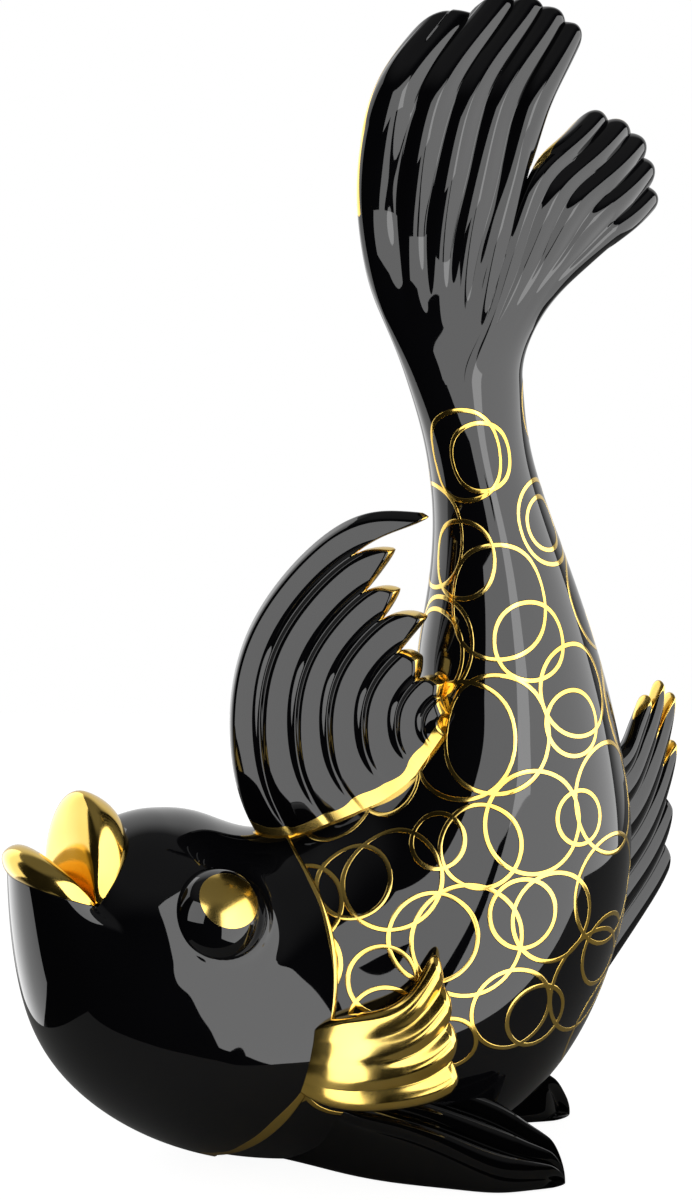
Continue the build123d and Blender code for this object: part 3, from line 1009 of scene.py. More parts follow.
@dataclass
class Tail:
    """The two lobes of the tail, which grow out of the end of the stem and part at a notch."""

    body: Body
    lower_rays: int = 5
    upper_curl: float = 10.4          # how far the ends curl away
    lower_curl: float = 9.75
    spacing: float = 14.0             # height between the first stations
    root_gap: float = 0.02            # girths over which the stem's slopes are measured
    trim: float = 0.7                 # width of the gold trim on the edges
    upper_trim: tuple[float, float] = (268.0, 314.0)    # heights between which it runs
    lower_trim: float = 281.0         # height from which it runs on the lower lobe
    seam: tuple = ((32.8, 0, 223), (37, 0, 237), (41.5, 0, 251), (45.5, 0, 265), (50, 0, 279))

    def _climb(self, outer_angle: float) -> Array:
        """How the stem's outer line, axis and half thickness change at its end, for one station's height.

        Args:
            outer_angle: angle of that outer line round the stem.

        Returns:
            The change of the numbers of the first station.
        """
        body = self.body
        at = np.array([body.last - self.root_gap, body.last])
        outer = body.skin(at, np.full(2, outer_angle))
        flank = body.skin(at, np.full(2, math.pi / 2))
        scale = self.spacing / (outer[1, 2] - outer[0, 2])
        climb = np.zeros(11)
        climb[0:3] = (outer[1] - outer[0]) * scale
        axis = body.frames(at)[0][:, :3]
        climb[3:6] = (axis[1] - axis[0]) * scale
        climb[7] = (flank[1, 1] - flank[0, 1]) * scale
        return climb

    def upper(self) -> Fan:
        """The upper, longer lobe.

        Returns:
            Its fan.
        """
        seam = self.seam
        stations = (
            FinStation((16.6, 0, 223), seam[0], 0.0, 11.0, 0.0, 0.0, 0.0),
            FinStation((11.2, 0, 237), seam[1], 0.6, 8.8, 0.05, 0.6, 0.0),
            FinStation((6.2, 0, 250), seam[2], 1.6, 6.8, 0.4, 1.8, 0.0),
            FinStation((3.4, 1, 266), seam[3], 2.0, 4.6, 0.9, 2.4, 0.3),
            FinStation((3.2, 2, 281), seam[4], 2.0, 3.0, 1.4, 2.4, 1.6),
            FinStation((6, 4, 297), (54.5, 1, 295), 1.8, 2.2, 1.7, 2.4, 2.2),
            FinStation((13.5, 6, 311.5), (59.5, 3, 306), 1.6, 1.8, 1.7, 2.4, 2.2),
            FinStation((27, 8, 326), (65.5, 5, 317), 1.4, 1.6, 1.5, 2.4, 2.2),
            FinStation((36, 9, 338), (71, 6, 328), 1.4, 1.4, 1.4, 2.4, 2.2),
        )
        borders = (0.0, 0.26, 0.46, 0.64, 0.82, 1.0)
        reach = ((0, 6.3), (0.13, 6.8), (0.26, 6.86), (0.36, 7.32), (0.46, 7.26), (0.55, 7.44), (0.64, 7.3),
                 (0.73, 7.36), (0.82, 7.14), (0.91, 7.14), (1, 6.45))
        return Fan(
            "tail_upper", stations, borders, reach, Flute.SOFT, oval=True, curl=self.upper_curl,
            curl_reach=32.0, sway=1.4, root_climb=self._climb(0.0), rows=190,
        )

    def lower(self) -> Fan:
        """The lower, shorter lobe, which stands towards the belly side.

        Returns:
            Its fan.
        """
        seam = self.seam
        stations = (
            FinStation((49.0, 0, 223), seam[0], 0.0, 11.0, 0.0, 0.0, 0.0),
            FinStation((52.5, 0, 237), seam[1], 0.6, 8.8, 0.03, 0.6, 0.0),
            FinStation((59.5, 1, 247), seam[2], 1.6, 6.8, 0.2, 1.8, 0.0),
            FinStation((67, 2, 254), seam[3], 2.0, 4.6, 0.55, 2.2, 0.3),
            FinStation((75.5, 4, 261), (51, 1, 280.5), 1.8, 3.0, 1.0, 2.2, 1.6),
            FinStation((82.5, 6, 266), (60, 5, 289), 1.6, 1.8, 1.3, 2.2, 2.0),
            FinStation((92, 8, 274), (70, 7, 298), 1.4, 1.4, 1.3, 2.2, 2.0),
        )
        reach = ((0, 5.2), (0.1, 5.55), (0.2, 5.5), (0.3, 5.9), (0.4, 5.8), (0.5, 6.1), (0.6, 5.98),
                 (0.7, 6.06), (0.8, 5.85), (0.9, 5.86), (1, 5.2))
        return Fan(
            "tail_lower", stations, even_rays(self.lower_rays), reach, Flute.SOFT, oval=True,
            curl=self.lower_curl, sway=0.9, root_climb=self._climb(math.pi), rows=170,
        )

    def build(self) -> tuple[bpy.types.Object, bpy.types.Object]:
        """Makes both lobes, with a thin gold trim along part of each edge."""
        return self.upper().build(self._trim_upper), self.lower().build(self._trim_lower)

    def _trim_upper(self, grid: FanGrid) -> Array:
        """Gold on the upper lobe's outer edge, below the tips.

        Args:
            grid: the lobe's points.

        Returns:
            Their gilding.
        """
        height = grid.middle[..., 2]
        low, high = self.upper_trim
        gilt = np.where((height > low) & (height < high), self.trim - grid.to_rim, BARE)
        return gilt - FULL * (grid.share > 0.5)

    def _trim_lower(self, grid: FanGrid) -> Array:
        """Gold on the lower lobe's edge above the notch."""
        gilt = np.where(grid.middle[..., 2] > self.lower_trim, self.trim - grid.to_rim, BARE)
        return gilt - FULL * (grid.share < 0.6)


@dataclass
class DorsalFin:
    """The fan on the back: rays on circles about a pivot beside the stem, with finger-like ends."""

    pivot: tuple[float, float, float] = (29.7, -22.5, 130)
    turn: float = -20.5
    core: float = 3.0                 # radius where the innermost ray ends
    base_line: float = 2.6            # width of the gold line along the base
    base_spread: float = 0.4          # how wide it runs on to the skin beside the fin, as a share of that
    tip_gold: float = 0.9             # width of the gold on the rays' ends
    halves: tuple[float, float] = (1.5, 2.4)            # half thickness at the leading edge and at the pivot
    rims: tuple[float, float] = (2.4, 1.0)              # rounding of these edges
    # angle, radius of the leading edge and ridge height of each section
    sweep: tuple = ((236, 70, 0.05), (212, 69.5, 0.3), (190, 67.5, 0.8), (160, 64.5, 1.4),
                    (125, 63.3, 1.6), (105, 61, 1.4), (90, 58.4, 1.2))
    # radius and angle of the rays' ends and of the notches between them, by turns
    ends: tuple = ((60, 99), (58.6, 97.5), (54, 123), (50.5, 111), (44, 126), (39.5, 115), (35, 126.5),
                   (30.5, 105), (25, 129), (20, 119), (15.6, 131), (11.5, 104), (8, 116), (3, 120))

    def fan(self) -> Fan:
        """Lays the rays out about the pivot.

        Returns:
            The fin's fan.
        """
        sweep = np.array(self.sweep, float)
        stations = []
        for degrees, radius, ridge in sweep:
            ray = np.array([math.cos(math.radians(degrees)), math.sin(math.radians(degrees))])
            outer, inner = standing(self.pivot, self.turn, np.array([ray * radius, ray * self.core]))
            stations.append(FinStation(tuple(outer), tuple(inner), *self.halves, ridge, *self.rims))
        numbers = np.arange(len(sweep), dtype=float)
        reach = []
        for radius, degrees in self.ends:
            station = float(np.interp(-degrees, -sweep[:, 0], numbers))
            lead = float(np.interp(station, numbers, sweep[:, 1]))
            reach.append(((lead - radius) / (lead - self.core), station))
        reach[0] = (0.0, reach[0][1])
        reach[-1] = (1.0, reach[-1][1])
        notches = tuple(share for share, _ in reach[2:-1:2])
        turn = math.radians(self.turn)
        return Fan(
            "dorsal_rays", tuple(stations), (0.0, *notches, 1.0), tuple(reach), Flute.BROAD,
            facing=(math.sin(turn), -math.cos(turn), 0), fullness=1.25, rim=2.0, rows=200,
        )

    def build(self) -> bpy.types.Object:
        """Makes the fin, with gold on its ends."""
        return self.fan().build(lambda grid: self.tip_gold - grid.to_tip)


@dataclass
class AnalFin:
    """Curved rays behind the stem."""

    foot: tuple[float, float, float] = (49, 0, 0)
    turn: float = 35.0
    ridge: float = 1.4
    gold_above: float = 104.0         # height from which the rays' ends are gilded
    gold_ends: float = 2.4            # width of that gold
    # lower edge, upper edge and half thickness of each section, in the fin's plane
    sections: tuple = (
        ((29, 45), (29, 109), 2.4), ((43.8, 60.7), (36.5, 112.4), 2.0), ((53.9, 74), (40, 118.7), 1.6),
        ((60.9, 92.4), (42.8, 124.8), 1.4), ((66, 111), (46.3, 135), 1.2),
    )
    reach: tuple = ((0, 1.75), (0.08, 2.05), (0.167, 2.0), (0.25, 2.5), (0.333, 2.45), (0.42, 3.35),
                    (0.5, 2.75), (0.6, 4.0), (0.69, 3.0), (0.8, 3.95), (0.86, 3.2), (0.93, 3.35), (1, 2.5))

    def build(self) -> bpy.types.Object:
        """Makes the fin, with gold on its upper ends.

        Returns:
            The fin.
        """
        stations = []
        for lower, upper, half in self.sections:
            edge_a, edge_b = standing(self.foot, self.turn, np.array([lower, upper]))
            stations.append(FinStation(tuple(edge_a), tuple(edge_b), half, half, self.ridge))
        borders = (0.0, *[share for share, _ in self.reach[2:-1:2]], 1.0)
        turn = math.radians(self.turn)
        fan = Fan(
            "anal_rays", tuple(stations), borders, self.reach, Flute.ROUND,
            facing=(math.sin(turn), -math.cos(turn), 0), fullness=1.5, rim=2.0,
        )
        return fan.build(
            lambda grid: np.where(grid.middle[..., 2] > self.gold_above, self.gold_ends - grid.to_tip, BARE),
        )


@dataclass
class PectoralFin:
    """A cupped fan behind a gill cover, gilded all over."""

    side: Side
    rays: int = 4
    camber: float = 0.8
    sections: tuple[FinStation, ...] = (
        FinStation((-15, -31, 31), (-14.5, -31, 42), 7.0, 7.0, 0.0),
        FinStation((-2.6, -42.5, 25.8), (-1, -42.5, 51.4), 6.0, 5.8, 0.1),
        FinStation((13.5, -49.8, 26.8), (11.6, -49.8, 56.4), 2.8, 2.6, 0.7),
        FinStation((27.3, -50.8, 30.4), (18.9, -50.8, 63.3), 2.0, 2.0, 1.5),
        FinStation((35.6, -50, 37.1), (23.6, -50, 71.6), 1.6, 1.6, 1.9),
        FinStation((40.3, -49, 44), (27.2, -49, 78.4), 1.4, 1.4, 1.8),
    )
    reach: tuple = ((0, 2.9), (0.125, 3.5), (0.25, 3.4), (0.375, 3.85), (0.5, 3.7), (0.625, 4.1), (0.75, 3.9),
                    (0.9, 4.25), (1, 3.7))

    def build(self) -> bpy.types.Object:
        """Makes the fin's mesh.

        Returns:
            The fin.
        """
        flip = np.array([1, -self.side.value, 1])
        stations = tuple(
            station._replace(edge_a=tuple(station.edge_a * flip), edge_b=tuple(station.edge_b * flip))
            for station in self.sections
        )
        fan = Fan(
            f"{self.side.name.lower()}_pectoral", stations, even_rays(self.rays), self.reach, Flute.SOFT,
            facing=(0, float(self.side.value), 0), camber=self.camber,
        )
        return fan.build()


@dataclass
class VentralFin:
    """A ventral fin that the fish stands on: flat below, with ridges along its sloping top.

    Each section is x, the sole's outer y, the outer edge's y and z, the crest's y and z, and the sole's
    inner y.
    """

    side: Side
    swing: float = 0.0                # degrees that it is turned by about the body's middle
    rows: int = 150
    crowding: float = 1.4             # how much the rows crowd towards the toe
    rays: int = 3
    ridge: float = 2.9
    ridge_power: float = 0.9          # shape of the ridges' waves
    ridge_most: float = 1 / 8         # most that a ridge takes of the top's width, in height
    least: tuple[float, float] = (0.4, 0.8)             # least heights of the outer edge and of the crest
    toe: float = 3.0                  # how far the ridges run out past the grooves at the toe
    toe_fade: tuple[float, float] = (5.5, 8.0)          # section numbers between which they do
    toe_end: float = 0.06             # size of the last section, as a share
    softness: float = 2.2             # rounding of its long edges
    softness_most: float = 1 / 6      # most that it takes of the top's width
    gold_from: float = 20.0           # stretch of the crest that is gilded, and the width of the gold
    gold_to: float = 47.0
    gold_width: float = 2.4
    gold_fade: float = 0.1            # so much narrower, so that its ends run out
    sections: tuple = (
        (-32, -6, -17, 8, -12, 16, -2),
        (-14, -18, -31, 21, -21, 31, -6),
        (1, -29.5, -36.5, 18.5, -25, 31, -11),
        (15, -37, -40, 15.5, -27, 30, -14),
        (29, -41.7, -43.6, 11, -26, 26.5, -17),
        (41, -45, -45.5, 6.3, -25, 22, -20),
        (50, -43.5, -44, 4.5, -26, 16, -22.5),
        (57, -41, -41.6, 3.8, -27.5, 11.5, -25),
        (61.5, -39, -39.5, 2.8, -29.5, 7, -27.5),
    )

    def build(self) -> bpy.types.Object:
        """Makes the fin's mesh.

        Returns:
            The fin.
        """
        at = np.linspace(0, 1, self.rows)
        at = (len(self.sections) - 1) * (1 - (1 - at) ** self.crowding)
        rows = spline(np.array(self.sections, float), at)
        points = on_table(np.array([self._loop(row, number) for row, number in zip(rows, at)]))
        crest = points[:, self.counts[0] + self.counts[1], None]
        stretch = np.clip((crest[..., 0] - self.gold_from) / (self.gold_to - self.gold_from), 0, 1)
        width = self.gold_width * np.sin(math.pi * stretch) - self.gold_fade
        gilt = width - np.linalg.norm(points - crest, axis=-1)
        if self.side is Side.RIGHT:
            points[..., 1] *= -1
        turn = math.radians(self.swing)
        x, y = points[..., 0].copy(), points[..., 1].copy()
        points[..., 0] = x * math.cos(turn) - y * math.sin(turn)
        points[..., 1] = x * math.sin(turn) + y * math.cos(turn)
        sheet = Sheet()
        numbers = sheet.grid(points, gilt, wrap=True)
        sheet.cap(numbers[0])
        sheet.cap(numbers[-1])
        return sheet.build(f"{self.side.name.lower()}_ventral")

    @property
    def counts(self) -> tuple[int, int, int, int]:
        """Points along the outer side, the ridged top, the inner side and the sole of a section."""
        return (26, 18 * self.rays, 26, 30)

    def _loop(self, row: Array, number: float) -> Array:
        """Closed outline of one section.

        Args:
            row: the section's values.
            number: its section number.

        Returns:
            Points in order.
        """
        x, sole_outer, outer_y, outer_z, crest_y, crest_z, sole_inner = row
        outer_z, crest_z = max(outer_z, self.least[0]), max(crest_z, self.least[1])
        corners = np.array([(sole_outer, 0), (outer_y, outer_z), (crest_y, crest_z), (sole_inner, 0)])
        counts = self.counts
        outline = []
        waves = []
        for corner, following, count in zip(corners, np.roll(corners, -1, axis=0), counts):
            share = np.linspace(0, 1, count, endpoint=False)
            outline.append(corner + share[:, None] * (following - corner))
            ridged = count == counts[1]
            wave = np.abs(np.sin(math.pi * share * self.rays)) ** self.ridge_power
            waves.append(wave if ridged else np.zeros_like(share))
        outline, wave = np.concatenate(outline), np.concatenate(waves)
        size = np.linalg.norm(corners[2] - corners[1])
        outline = self._soften(outline, min(self.softness, size * self.softness_most))
        slope = unit(corners[2] - corners[1])
        lift = np.array([-slope[1], slope[0]]) * min(self.ridge, size * self.ridge_most)
        outline = outline + wave[:, None] * lift
        # the toe closes in a round end over the last section
        ending = np.clip(number - (len(self.sections) - 2), 0, 1)
        heart = np.array([outline[:, 0].mean(), 0.0])
        outline = heart + (outline - heart) * (self.toe_end + (1 - self.toe_end) * math.sqrt(1 - ending ** 2))
        above = outline[:, 1] > 0.5
        reach = x + (wave - 1) * self.toe * smooth(*self.toe_fade, np.full(wave.shape, number)) * above
        return np.column_stack([reach, outline])

    @staticmethod
    def _soften(outline: Array, width: float) -> Array:
        """Rounds the corners of a closed outline.

        Args:
            outline: its points in order.
            width: how far along it the rounding reaches.

        Returns:
            The rounded outline.
        """
        pieces = np.linalg.norm(np.roll(outline, -1, axis=0) - outline, axis=-1)
        place = np.concatenate([[0], np.cumsum(pieces)])
        total = place[-1]
        gap = np.abs(place[:-1, None] - place[None, :-1])
        gap = np.minimum(gap, total - gap)
        weight = np.exp(-(gap / max(width, 0.05)) ** 2) * pieces[None, :]
        return weight @ outline / weight.sum(1, keepdims=True)


# Face

@dataclass
class Lip:
    """One thick everted lip, from the throat over its rim to its root on the head.

    The profile's points are forward and up at the mouth's middle.
    """

    name: str
    mouth: Mouth
    profile: tuple[tuple[float, float], ...]
    corner: float = 0.02              # radians short of the mouth's corners where it ends
    columns: int = 90
    steps: int = 60

    def build(self) -> bpy.types.Object:
        """Makes the lip's mesh.

        Returns:
            The lip.
        """
        turn = np.linspace(self.corner, math.pi - self.corner, self.columns)
        lift = self.mouth.lift(np.sin(turn))
        share = np.linspace(0, 1, self.steps)
        flat = spline(np.array(self.profile), share * (len(self.profile) - 1))
        throat = self.mouth.throat
        flare = throat + (self.mouth.root_flare - throat) * share
        across = -self.mouth.half_width * np.cos(turn)[:, None] * flare[None]
        local = np.concatenate([flat[None] * lift[:, None, None], across[..., None]], axis=-1)
        sheet = Sheet()
        numbers = sheet.grid(self.mouth.place(local), FULL, wrap=True)
        sheet.cap(numbers[0])
        sheet.cap(numbers[-1])
        return sheet.build(self.name)


@dataclass
class Eye:
    """A domed eye with a gilded cap on its upper part."""

    body: Body
    side: Side
    radius: float = 14.0
    sink: float = 5.0                 # how far its middle lies under the skin
    cap_radius: float = 9.0           # radius of the gilded cap, along the dome
    cap_lift: float = 1.2             # how far up the dome the cap's middle sits
    cap_wobble: float = 0.25
    cap_seed: int = 11
    rows: int = 90
    columns: int = 120

    def build(self) -> bpy.types.Object:
        """Makes the eye's mesh.

        Returns:
            The eye.
        """
        place, outward = self.body.eye_axis(self.side)
        centre = place - outward * self.sink
        upward = unit(np.array([0, 0, 1.0]) - outward * outward[2])
        lean = self.cap_lift / self.radius
        pole = unit(outward * math.cos(lean) + upward * math.sin(lean))
        first = unit(np.cross(pole, np.array([0.3, 0.2, 1.0])))      # from any direction beside the pole
        second = np.cross(pole, first)
        polar = np.linspace(0, math.pi, self.rows)[1:-1]
        turn = np.linspace(0, 2 * math.pi, self.columns, endpoint=False)
        ring = np.cos(turn)[:, None] * first + np.sin(turn)[:, None] * second
        points = centre + self.radius * (
            np.cos(polar)[:, None, None] * pole + np.sin(polar)[:, None, None] * ring[None]
        )
        wobble = self.cap_wobble * waver(np.degrees(turn), 360, self.cap_seed)
        gilt = (self.cap_radius + wobble)[None] - self.radius * polar[:, None]
        sheet = Sheet()
        numbers = sheet.grid(points, gilt, wrap=True)
        sheet.cap(numbers[0])
        sheet.gilt[-1][:] = FULL
        sheet.cap(numbers[-1])
        return sheet.build(f"{self.side.name.lower()}_eye_dome")


# Gold rings

MATH = "ShaderNodeMath"
VECTOR = "ShaderNodeVectorMath"
SPLIT = "ShaderNodeSeparateXYZ"
STORE = "GeometryNodeStoreNamedAttribute"
READ = "GeometryNodeInputNamedAttribute"
MOVE = "GeometryNodeSetPosition"
NEAREST = "GeometryNodeSampleNearestSurface"
DENSEST = 60000.0      # most centres to a square metre, before the spacing thins them out
STEPS_ROUND = 85       # points round a ring
STEPS_ACROSS = 9       # and round its line
ASIDE = (0.31, 0.52, 0.79)     # any direction, from which each ring's plane is laid out
WELD = 2e-6            # metres under which a strip's ends are joined


@dataclass
class Rings:
    """One round of gold rings brushed over the trunk, laid out by a geometry node tree.

    Sizes are in millimetres.
    """

    name: str
    seed: int
    smallest: float = 7.5             # radius
    largest: float = 16.5
    line: float = 1.45                # width of the line
    film: float = 0.04                # height of the gold above the glaze, drawn thicker than it is
    spacing: float = 25.5             # least distance between the middles
    lowest: float = 34.0              # no ring's middle lies lower or higher than these
    highest: float = 217.0

    def build(self, carriers: Sequence[bpy.types.Object], material: bpy.types.Material) -> bpy.types.Object:
        """Makes the rings.

        Args:
            carriers: the pieces whose surface carries them.
            material: their gold.

        Returns:
            The rings as one mesh.
        """
        tree = self._tree(material)
        ground = bpy.data.meshes.new(self.name)
        work = bmesh.new()
        for carrier in carriers:
            work.from_mesh(carrier.data)
        work.to_mesh(ground)
        work.free()
        rings = bpy.data.objects.new(self.name, ground)
        bpy.context.scene.collection.objects.link(rings)
        modifier = rings.modifiers.new("rings", "NODES")
        modifier.node_group = tree
        values = {
            "Smallest": self.smallest * MM, "Largest": self.largest * MM, "Line": self.line * MM,
            "Film": self.film * MM, "Spacing": self.spacing * MM, "Seed": self.seed,
            "Lowest": self.lowest * MM, "Highest": self.highest * MM,
        }
        for item in tree.interface.items_tree:
            if item.in_out == "INPUT" and item.name in values:
                modifier[item.identifier] = values[item.name]
        bpy.context.view_layer.update()
        graph = bpy.context.evaluated_depsgraph_get()
        mesh = bpy.data.meshes.new_from_object(rings.evaluated_get(graph))
        rings.modifiers.remove(modifier)
        rings.data = mesh
        mesh.polygons.foreach_set("use_smooth", [True] * len(mesh.polygons))
        return rings

    @staticmethod
    def _tree(material: bpy.types.Material) -> bpy.types.NodeTree:
        """The node tree: scattered centres, a closed band for each, laid on the surface.

        Args:
            material: the rings' gold.

        Returns:
            The tree.
        """
        tree = bpy.data.node_groups.new("gold rings on a surface", "GeometryNodeTree")
        add = partial(add_node, tree)
        tree.interface.new_socket("Geometry", in_out="INPUT", socket_type="NodeSocketGeometry")
        for name in ("Smallest", "Largest", "Line", "Film", "Spacing", "Lowest", "Highest"):
            tree.interface.new_socket(name, in_out="INPUT", socket_type="NodeSocketFloat")
        tree.interface.new_socket("Seed", in_out="INPUT", socket_type="NodeSocketInt")
        tree.interface.new_socket("Geometry", in_out="OUTPUT", socket_type="NodeSocketGeometry")
        source = add("NodeGroupInput").outputs
        place = add("GeometryNodeInputPosition").outputs[0]
        # centres on the surface between two heights
        height = add(SPLIT, Vector=place).outputs["Z"]
        above = add(MATH, {"operation": "GREATER_THAN"}, _0=height, _1=source["Lowest"]).outputs[0]
        below = add(MATH, {"operation": "LESS_THAN"}, _0=height, _1=source["Highest"]).outputs[0]
        chosen = add(MATH, {"operation": "MULTIPLY"}, _0=above, _1=below).outputs[0]
        points = add(
            "GeometryNodeDistributePointsOnFaces", {"distribute_method": "POISSON"}, Mesh=source["Geometry"],
            Selection=chosen, Distance_Min=source["Spacing"], Density_Max=DENSEST, Seed=source["Seed"],
        )
        radius = add(
            "FunctionNodeRandomValue", {"data_type": "FLOAT"},
            _2=source["Smallest"], _3=source["Largest"], Seed=source["Seed"],
        ).outputs[1]
        centres = points.outputs["Points"]
        for name, kind, value in (
            ("ring_normal", "FLOAT_VECTOR", points.outputs["Normal"]),
            ("ring_centre", "FLOAT_VECTOR", place),
            ("ring_radius", "FLOAT", radius),
        ):
            centres = add(STORE, {"data_type": kind}, Geometry=centres, Name=name, Value=value).outputs[0]
        # a flat strip for each centre, which knows its share of the turn round the ring and round the line
        strip = add(
            "GeometryNodeMeshGrid", Size_X=1.0, Size_Y=1.0, Vertices_X=STEPS_ROUND, Vertices_Y=STEPS_ACROSS,
        ).outputs["Mesh"]
        for name, axis in (("ring_turn", "X"), ("line_turn", "Y")):
            share = add(SPLIT, Vector=place).outputs[axis]
            strip = add(STORE, {"data_type": "FLOAT"}, Geometry=strip, Name=name, Value=share).outputs[0]
        placed = add("GeometryNodeInstanceOnPoints", Points=centres, Instance=strip).outputs[0]
        strips = add("GeometryNodeRealizeInstances", Geometry=placed).outputs[0]
        # the strip bent round its centre, in the plane that touches the surface there
        normal = add(READ, {"data_type": "FLOAT_VECTOR"}, Name="ring_normal").outputs[0]
        centre = add(READ, {"data_type": "FLOAT_VECTOR"}, Name="ring_centre").outputs[0]
        radius = add(READ, {"data_type": "FLOAT"}, Name="ring_radius").outputs[0]
        ring_share = add(READ, {"data_type": "FLOAT"}, Name="ring_turn").outputs[0]
        line_share = add(READ, {"data_type": "FLOAT"}, Name="line_turn").outputs[0]
        tilted = add(VECTOR, {"operation": "CROSS_PRODUCT"}, _0=normal, _1=ASIDE).outputs[0]
        first = add(VECTOR, {"operation": "NORMALIZE"}, _0=tilted).outputs[0]
        second = add(VECTOR, {"operation": "CROSS_PRODUCT"}, _0=normal, _1=first).outputs[0]
        ring_turn = add(MATH, {"operation": "MULTIPLY"}, _0=ring_share, _1=2 * math.pi).outputs[0]
        line_turn = add(MATH, {"operation": "MULTIPLY"}, _0=line_share, _1=2 * math.pi).outputs[0]
        half_line = add(MATH, {"operation": "MULTIPLY"}, _0=source["Line"], _1=0.5).outputs[0]
        across = add(MATH, {"operation": "COSINE"}, _0=line_turn).outputs[0]
        reach = add(MATH, {"operation": "MULTIPLY_ADD"}, _0=across, _1=half_line, _2=radius).outputs[0]
        target = centre
        for direction, wave in ((first, "COSINE"), (second, "SINE")):
            share = add(MATH, {"operation": wave}, _0=ring_turn).outputs[0]
            distance = add(MATH, {"operation": "MULTIPLY"}, _0=share, _1=reach).outputs[0]
            step = add(VECTOR, {"operation": "SCALE"}, _0=direction, Scale=distance).outputs[0]
            target = add(VECTOR, {"operation": "ADD"}, _0=target, _1=step).outputs[0]
        bent = add(MOVE, Geometry=strips, Position=target).outputs[0]
        # pressed on the surface, with the film's thickness on both sides of it
        facing = add("GeometryNodeInputNormal").outputs[0]
        under, outward = (
            add(NEAREST, {"data_type": "FLOAT_VECTOR"}, Mesh=source["Geometry"], Value=value).outputs[0]
            for value in (place, facing)
        )
        rise = add(MATH, {"operation": "SINE"}, _0=line_turn).outputs[0]
        film = add(MATH, {"operation": "MULTIPLY"}, _0=rise, _1=source["Film"]).outputs[0]
        lifted = add(VECTOR, {"operation": "SCALE"}, _0=outward, Scale=film).outputs[0]
        on_skin = add(VECTOR, {"operation": "ADD"}, _0=under, _1=lifted).outputs[0]
        pressed = add(MOVE, Geometry=bent, Position=on_skin).outputs[0]
        closed = add("GeometryNodeMergeByDistance", Geometry=pressed, Distance=WELD).outputs[0]
        whole = add("GeometryNodeRealizeInstances", Geometry=closed).outputs[0]
        gilded = add("GeometryNodeSetMaterial", Geometry=whole, Material=material).outputs[0]
        add("NodeGroupOutput", Geometry=gilded)
        return tree


# Studio

# groups of pieces for the lamps that don't light everything
TRUNK_AND_TAIL = (
    "trunk_shell", "gold_rings_first", "gold_rings_second", "left_pectoral_fin", "tail_upper_lobe",
    "tail_lower_lobe",
)
ALL_BUT_VENTRALS = (
    *TRUNK_AND_TAIL, "head_shell", "left_eye", "right_eye", "upper_lip", "lower_lip", "dorsal_fin",
    "anal_fin", "right_pectoral_fin",
)
FINS = ("dorsal_fin", "left_pectoral_fin", "left_ventral_fin", "right_ventral_fin")


@dataclass(frozen=True)
class Softbox:
    """A soft lamp on a stand.

    Its place, its size and what it points at are in metres. Where it is flagged off from the rest, only names
    the nodes that it lights.
    """

    name: str
    place: tuple[float, float, float]
    width: float
    height: float
    radiance: float
    aim: tuple[float, float, float] = (0.0, 0.0, 0.15)
    only: tuple[str, ...] = ()

    def light(self, pieces: dict[str, bpy.types.Object]) -> None:
        """Adds the lamp to the scene.

        Args:
            pieces: the figurine's pieces by node.
        """
        lamp = bpy.data.lights.new(self.name, "AREA")
        lamp.shape = "RECTANGLE"
        lamp.size, lamp.size_y = self.width, self.height
        lamp.energy = self.radiance * math.pi * self.width * self.height
        holder = bpy.data.objects.new(self.name, lamp)
        holder.location = self.place
        holder.rotation_euler = (Vector(self.aim) - Vector(self.place)).to_track_quat("-Z", "Y").to_euler()
        bpy.context.scene.collection.objects.link(holder)
        if self.only:
            lit = bpy.data.collections.new(f"lit_by_{self.name}")
            for node in self.only:
                lit.objects.link(pieces[node])
            holder.light_linking.receiver_collection = lit


class Rise(NamedTuple):
    """How bright the surroundings show in the glaze: a smooth rise along one axis of the direction."""

    axis: str
    start: float
    end: float
    low: float
    high: float


